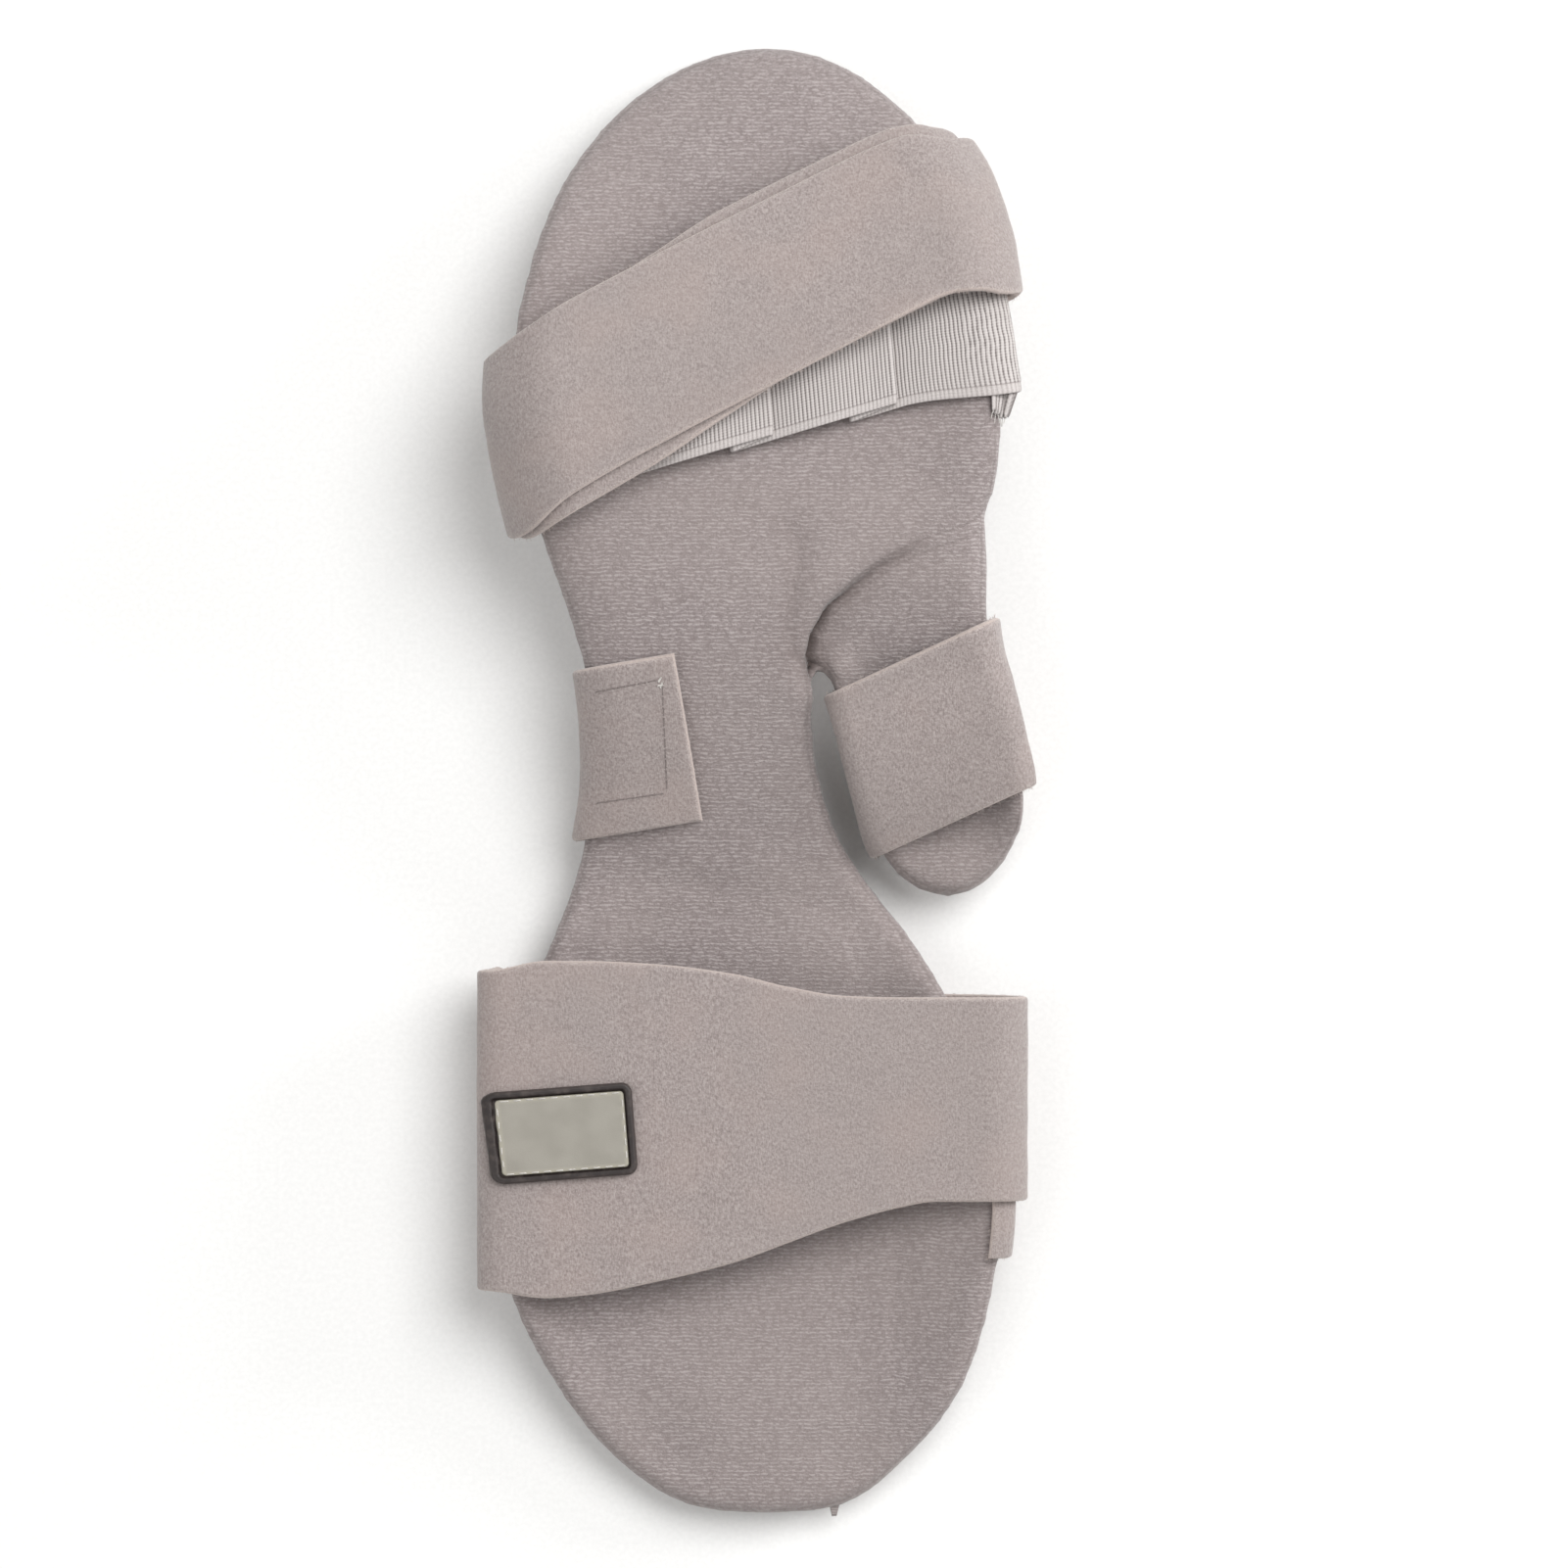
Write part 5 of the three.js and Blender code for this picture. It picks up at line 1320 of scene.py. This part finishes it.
# %% [markdown]
# ## Loose fibres
# Brushed fabric that was cut with shears has a fringe of fibres a millimetre long along its cut, which makes
# its outline soft. Hair particles would do it too, but they don't leave Blender as a mesh. So each fibre is a
# thin three-sided grain, rooted on the edge of its strap and bent a little aside.

# %% Fibres of one strap
FIBRE_RINGS = ((-0.2, 0.0, 0.045), (0.45, 0.04, 0.035), (0.9, 0.17, 0.012))  # out, aside, radius
FIBRE_SIDES = 3
FIBRES_PER_POINT = 1.7

def fibres_of(piece, draw):
    """Fibres on a strap's edge: for each, its rings of points."""
    on_rim = np.nonzero(read(piece.data.attributes["rim"].data, "value", each=1)[:, 0] < 0.01)[0]
    places, normals = points_of(piece)[on_rim], normals_of(piece)[on_rim]
    finder = finder_of(places)
    picked = draw.integers(0, len(on_rim), int(len(on_rim) * FIBRES_PER_POINT))
    beside = np.array([finder.find_n(places[i], 2)[1][1] for i in picked])
    step = draw.uniform(0, 1, (len(picked), 1))
    root, out = places[picked] * (1 - step) + places[beside] * step, normals[picked]
    length = draw.uniform(0.35, 1.1, (len(picked), 1))
    aside = draw.normal(0, 1, (len(picked), 3))
    side = np.cross(out, aside)
    side /= np.linalg.norm(side, axis=1, keepdims=True)
    other = np.cross(out, side)
    rings = []
    for reach, bend, thick in FIBRE_RINGS:
        centre = root + out * reach * length + aside * bend * length
        for angle in 2 * np.pi * np.arange(FIBRE_SIDES) / FIBRE_SIDES:
            rings.append(centre + thick * (side * math.cos(angle) + other * math.sin(angle)))
    return np.stack(rings, 1)

print("a fibre's length is split into", len(FIBRE_RINGS) - 1, "parts")

# %% Fibres along the cut edges
def fibres_along(name, straps):
    draw = np.random.default_rng(8)
    grains = np.concatenate([fibres_of(piece, draw) for piece in straps])
    each, faces = grains.shape[1], []
    for first in range(0, grains.size // 3, each):
        last = first + each - 3
        faces += [(first + 2, first + 1, first), (last, last + 1, last + 2)]
        faces += quads(len(FIBRE_RINGS), FIBRE_SIDES, first)
    return mesh_object(name, grains.reshape(-1, 3), faces)

fibres = fibres_along("strap_edge_fibres", (finger_strap, thumb_strap, wrist_strap, anchor, forearm_strap))
print("fibres:", len(fibres.data.polygons), "faces")

# %% [markdown]
# ## Knit of the cover
# The cover is a brushed knit: rows of loops, a millimetre apart, that run straight across the splint, half
# hidden under short nap. The rows are a sine along the length that wanders a little and breaks up, the nap is
# fine noise, and the same height gives both the bump and the light and dark of the colour. Sheen lightens
# the fabric where it turns away, as nap does.

# %% Knit finish
COURSE = 0.95 * MM

def row_height(finish, place, course, wander):
    """Rows of loops across the splint that wander a little: 0 between the rows, 1 on them."""
    along = finish.node("ShaderNodeSeparateXYZ", None, place, output="Y")
    drift = finish.noise(place, 210) - 0.5
    turns = (along / course + drift * wander) * (2 * math.pi)
    return turns.math("SINE") * 0.5 + 0.5

def nap_noise(finish, place):
    return finish.noise(place, 2600, 3, 0.62)

def knit_finish():
    f = Finish("brushed_knit", roughness=0.92, sheen=0.28, specular=0.22)
    place = f.place()
    rows = row_height(f, place, COURSE, 1.5)
    broken = f.noise(f.scaled(place, (0.75, 1.3, 0.8)), 1250, 2).step(0.4, 0.62)
    nap = nap_noise(f, place)
    tufts = f.noise(place, 700)
    rows = 0.5 + (rows - 0.5) * f.attribute("rows")
    height = rows * (broken * 0.3 + 0.04) + nap * 0.55 + tufts * 0.34
    patches = f.noise(place, 24).step(0.3, 0.7)
    tone = f.mix(height.step(0.3, 0.86), linear(128, 118, 117), linear(172, 163, 162))
    tone = f.mix(patches * 0.25, tone, linear(158, 147, 143))
    line = f.attribute("seam").math("ABSOLUTE").step(0.5, 0.1)
    tone = f.mix(line * 0.22, tone, linear(104, 94, 91))
    # Painted shade: darker in the dips beside the creases, darkest in the deep crease of the palm.
    tone = f.mix((f.attribute("hollow") * 0.32).clamp(), tone, linear(96, 84, 80))
    tone = f.mix((f.attribute("crease") * 0.85).clamp(), tone, linear(64, 52, 48))
    rough = height.step(0.3, 1.0, 1.0, 0.86)
    return f.finish(tone, rough, f.bump(height - line * 0.25, 0.3, 0.8))

knit = knit_finish()
print("knit:", len(knit.node_tree.nodes), "nodes")

# %% [markdown]
# ## Brushed loop straps
# The straps are foam with a tricot that is brushed into a felt of tiny loops for the hook side to hold. It
# has no rows, only lumps about a millimetre across and fine fibres. The warm dye is uneven over centimetres.
# Where the strap was cut, the pale foam shows in a thin line and loose fibres stand out.

# %% Strap finish
def strap_finish():
    f = Finish("brushed_loop", roughness=0.95, sheen=0.35, specular=0.18)
    place = f.place()
    lumps = f.noise(place, 1500, rough=0.55)
    fibres = f.noise(place, 3400, rough=0.6)
    combed = f.noise(f.scaled(place, (1.7, 0.6, 1)), 1700, 2)
    height = lumps * 0.45 + fibres * 0.3 + combed * 0.35
    dye = f.noise(place, 48).step(0.42, 0.68)
    shade = f.noise(place, 17, 1).step(0.35, 0.65)
    tone = f.mix(height.step(0.34, 0.76), linear(131, 120, 118), linear(174, 164, 161))
    tone = f.mix(dye * 0.2, tone, linear(172, 153, 146))
    tone = f.mix(shade * 0.22, tone, linear(148, 140, 137))
    rim = f.attribute("rim")
    foam = rim.step(0.55, 0.12)
    hairy = (rim.step(1.5, 0.3) * fibres.step(0.45, 0.6)).clamp()
    tone = f.mix(hairy * 0.4, tone, linear(208, 196, 190))
    tone = f.mix(foam * 0.55, tone, linear(204, 188, 180))
    return f.finish(tone, height.step(0.3, 0.8, 1.0, 0.88), f.bump(height, 0.36, 0.9))

strap_felt = strap_finish()
print("strap:", len(strap_felt.node_tree.nodes), "nodes")

# %% [markdown]
# ## Ribbed elastic
# Rubber threads run along the band and fine yarn is bound round them, which pulls the weave into cords across
# it. The cords are in the mesh. The finish paints shade into the gap between two cords, and adds the yarn's
# fine crossing threads and the flat selvage with its own line.

# %% Elastic finish
def elastic_finish():
    f = Finish("ribbed_elastic", roughness=0.72, sheen=0.12, specular=0.35)
    place = f.place()
    along, across, rim = (f.attribute(name) for name in ("along", "across", "rim"))
    fibres = f.noise(place, 3000, rough=0.6)
    cord = (along * math.pi).math("SINE").math("ABSOLUTE")
    yarn = (across * (math.pi / 0.62) + f.noise(place, 600, 1) * 2).math("SINE").math("ABSOLUTE")
    inside = rim.step(1.9, 2.3)
    weave = (cord * 0.7 + yarn * 0.2 + fibres * 0.2).step(0.1, 0.95)
    # Painted shade between the cords: the colour darkens where a cord falls away; the yarn and fibres add the
    # weave's own crossing threads.
    ribbed = f.mix(weave, linear(92, 84, 82), linear(196, 190, 188))
    bound = f.mix((cord * 0.35 + fibres * 0.6).step(0.2, 0.8), linear(160, 153, 151), linear(200, 194, 192))
    tone = f.mix(inside, bound, ribbed)
    tone = f.mix((rim - 2.15).math("ABSOLUTE").step(0.22, 0.06) * 0.6, tone, linear(126, 117, 115))
    tone = f.mix(f.noise(place, 70).step(0.4, 0.7) * 0.2, tone, linear(170, 163, 160))
    height = cord * 0.4 + yarn * 0.35 + fibres * 0.25
    return f.finish(tone, height.step(0.2, 0.9, 0.85, 0.66), f.bump(height, 0.16, 0.8))

elastic = elastic_finish()
print("elastic:", len(elastic.node_tree.nodes), "nodes")

# %% [markdown]
# ## Rubber, patch, thread and tape
# The small parts set the straps off: soft rubber with a dull gloss and a trace of dust, a satin face that has
# been handled, twisted sewing thread, and woven tape.

# %% Rubber and satin
def rubber_finish():
    f = Finish("moulded_rubber", roughness=0.5, specular=0.42)
    place = f.place()
    pits, dust = f.noise(place, 5200), f.noise(place, 420, 3, 0.6)
    tone = f.mix(dust.step(0.42, 0.72), linear(42, 35, 34), linear(72, 64, 61))
    edge = f.attribute("rim").step(0.9, 0.1)
    tone = f.mix(edge * 0.35, tone, linear(84, 76, 73))
    return f.finish(tone, dust.step(0.3, 0.8, 0.42, 0.68), f.bump(pits * 0.6 + dust * 0.4, 0.05, 0.7))

def patch_finish():
    f = Finish("satin_face", roughness=0.5, specular=0.35)
    place = f.place()
    grain = f.noise(f.scaled(place, (1, 2.2, 1)), 2600, 2)
    clouds = f.noise(place, 130)
    tone = f.mix(clouds.step(0.3, 0.7), linear(146, 142, 133), linear(154, 150, 141))
    tone = f.mix(grain.step(0.55, 0.75) * 0.25, tone, linear(138, 133, 125))
    tone = f.mix(f.attribute("rim").step(1.3, 0.15) * 0.6, tone, linear(178, 173, 156))
    return f.finish(tone, clouds.step(0.25, 0.75, 0.42, 0.6), f.bump(grain, 0.04, 0.6))

rubber, satin = rubber_finish(), patch_finish()
print("label finishes:", rubber.name, satin.name)

# %% Thread and tape
TWIST = 0.28 * MM

def thread_finish(name, dark, light):
    f = Finish(name, roughness=0.62, sheen=0.15, specular=0.3)
    place = f.place()
    x, y, z = (f.node("ShaderNodeSeparateXYZ", None, place, output=axis) for axis in "XYZ")
    twist = ((x + y * 0.6 + z * 0.4) * (2 * math.pi / TWIST)).math("SINE") * 0.5 + 0.5
    worn = f.noise(place, 700)
    tone = f.mix((twist * 0.6 + worn * 0.5).step(0.2, 0.9), linear(*dark), linear(*light))
    return f.finish(tone, worn.step(0.3, 0.7, 0.55, 0.75), f.bump(twist, 0.06, 0.8))

TAPE_WEAVE = 0.4 * MM

def tape_finish():
    f = Finish("seam_tape", roughness=0.9, sheen=0.2, specular=0.25)
    place = f.place()
    weave = row_height(f, place, TAPE_WEAVE, 0.4) * 0.6 + nap_noise(f, place) * 0.5
    tone = f.mix(weave.step(0.25, 0.85), linear(112, 104, 102), linear(170, 162, 160))
    return f.finish(tone, weave.step(0.2, 0.9, 0.98, 0.8), f.bump(weave, 0.12, 0.8))

tape = tape_finish()
grey_thread = thread_finish("grey_thread", (96, 86, 84), (150, 140, 137))
pale_thread = thread_finish("pale_thread", (170, 166, 160), (236, 233, 228))
print("small finishes:", [m.name for m in (tape, grey_thread, pale_thread)])

# %% [markdown]
# ## Dressing
# Every piece now gets its finish, rides on the one body and takes the place of the solid that it was made
# from.

# %% Dressing the pieces
def dress(piece, material, slot, *nodes):
    """Gives a piece its finish and its place in the frame."""
    piece.data.materials.clear()
    piece.data.materials.append(material)
    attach(piece, "root")
    if nodes:
        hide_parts(*nodes)
    print(piece.name, len(piece.data.polygons), "faces")

dress(skin, knit, "knit", "splint_pad")
dress(loops, elastic, "elastic", "finger_loops")
for piece, node in (
    (finger_strap, "finger_strap"), (thumb_strap, "thumb_strap"), (wrist_strap, "wrist_strap"),
    (anchor, "forearm_anchor"), (forearm_strap, "forearm_strap"),
):
    dress(piece, strap_felt, "strap", node)
dress(fibres, strap_felt, "strap")
dress(flap, elastic, "elastic")
dress(fray, pale_thread, "elastic")
dress(frame_rim, rubber, "rubber", "label_frame")
dress(face, satin, "patch", "label_face")
dress(tab_stitches, grey_thread, "strap")
dress(thread_end, pale_thread, "strap")
dress(label_stitches, pale_thread, "strap")
dress(tape_tip, tape, "tape", "seam_tail")

# %% [markdown]
# ## Floor
# A sheet of pale paper, a fraction of a millimetre below the splint so that the two never share a surface.

# %% Paper floor
def paper_finish():
    f = Finish("pale_paper", roughness=0.9, specular=0.2)
    place = f.place()
    pulp = f.noise(place, 900, 3, 0.6)
    tone = f.mix(pulp.step(0.3, 0.7), linear(240, 240, 239), linear(245, 245, 244))
    return f.finish(tone, None, f.bump(pulp, 0.03, 0.4))

PAPER_BELOW = 0.2 * MM
bpy.ops.mesh.primitive_plane_add(size=6, location=(0, 0, -PAPER_BELOW))
floor = bpy.context.object
floor.name = "floor"
floor.data.materials.append(paper_finish())
print("floor:", floor.name)

# %% [markdown]
# The dressed splint has to stay in the box of the packed model.
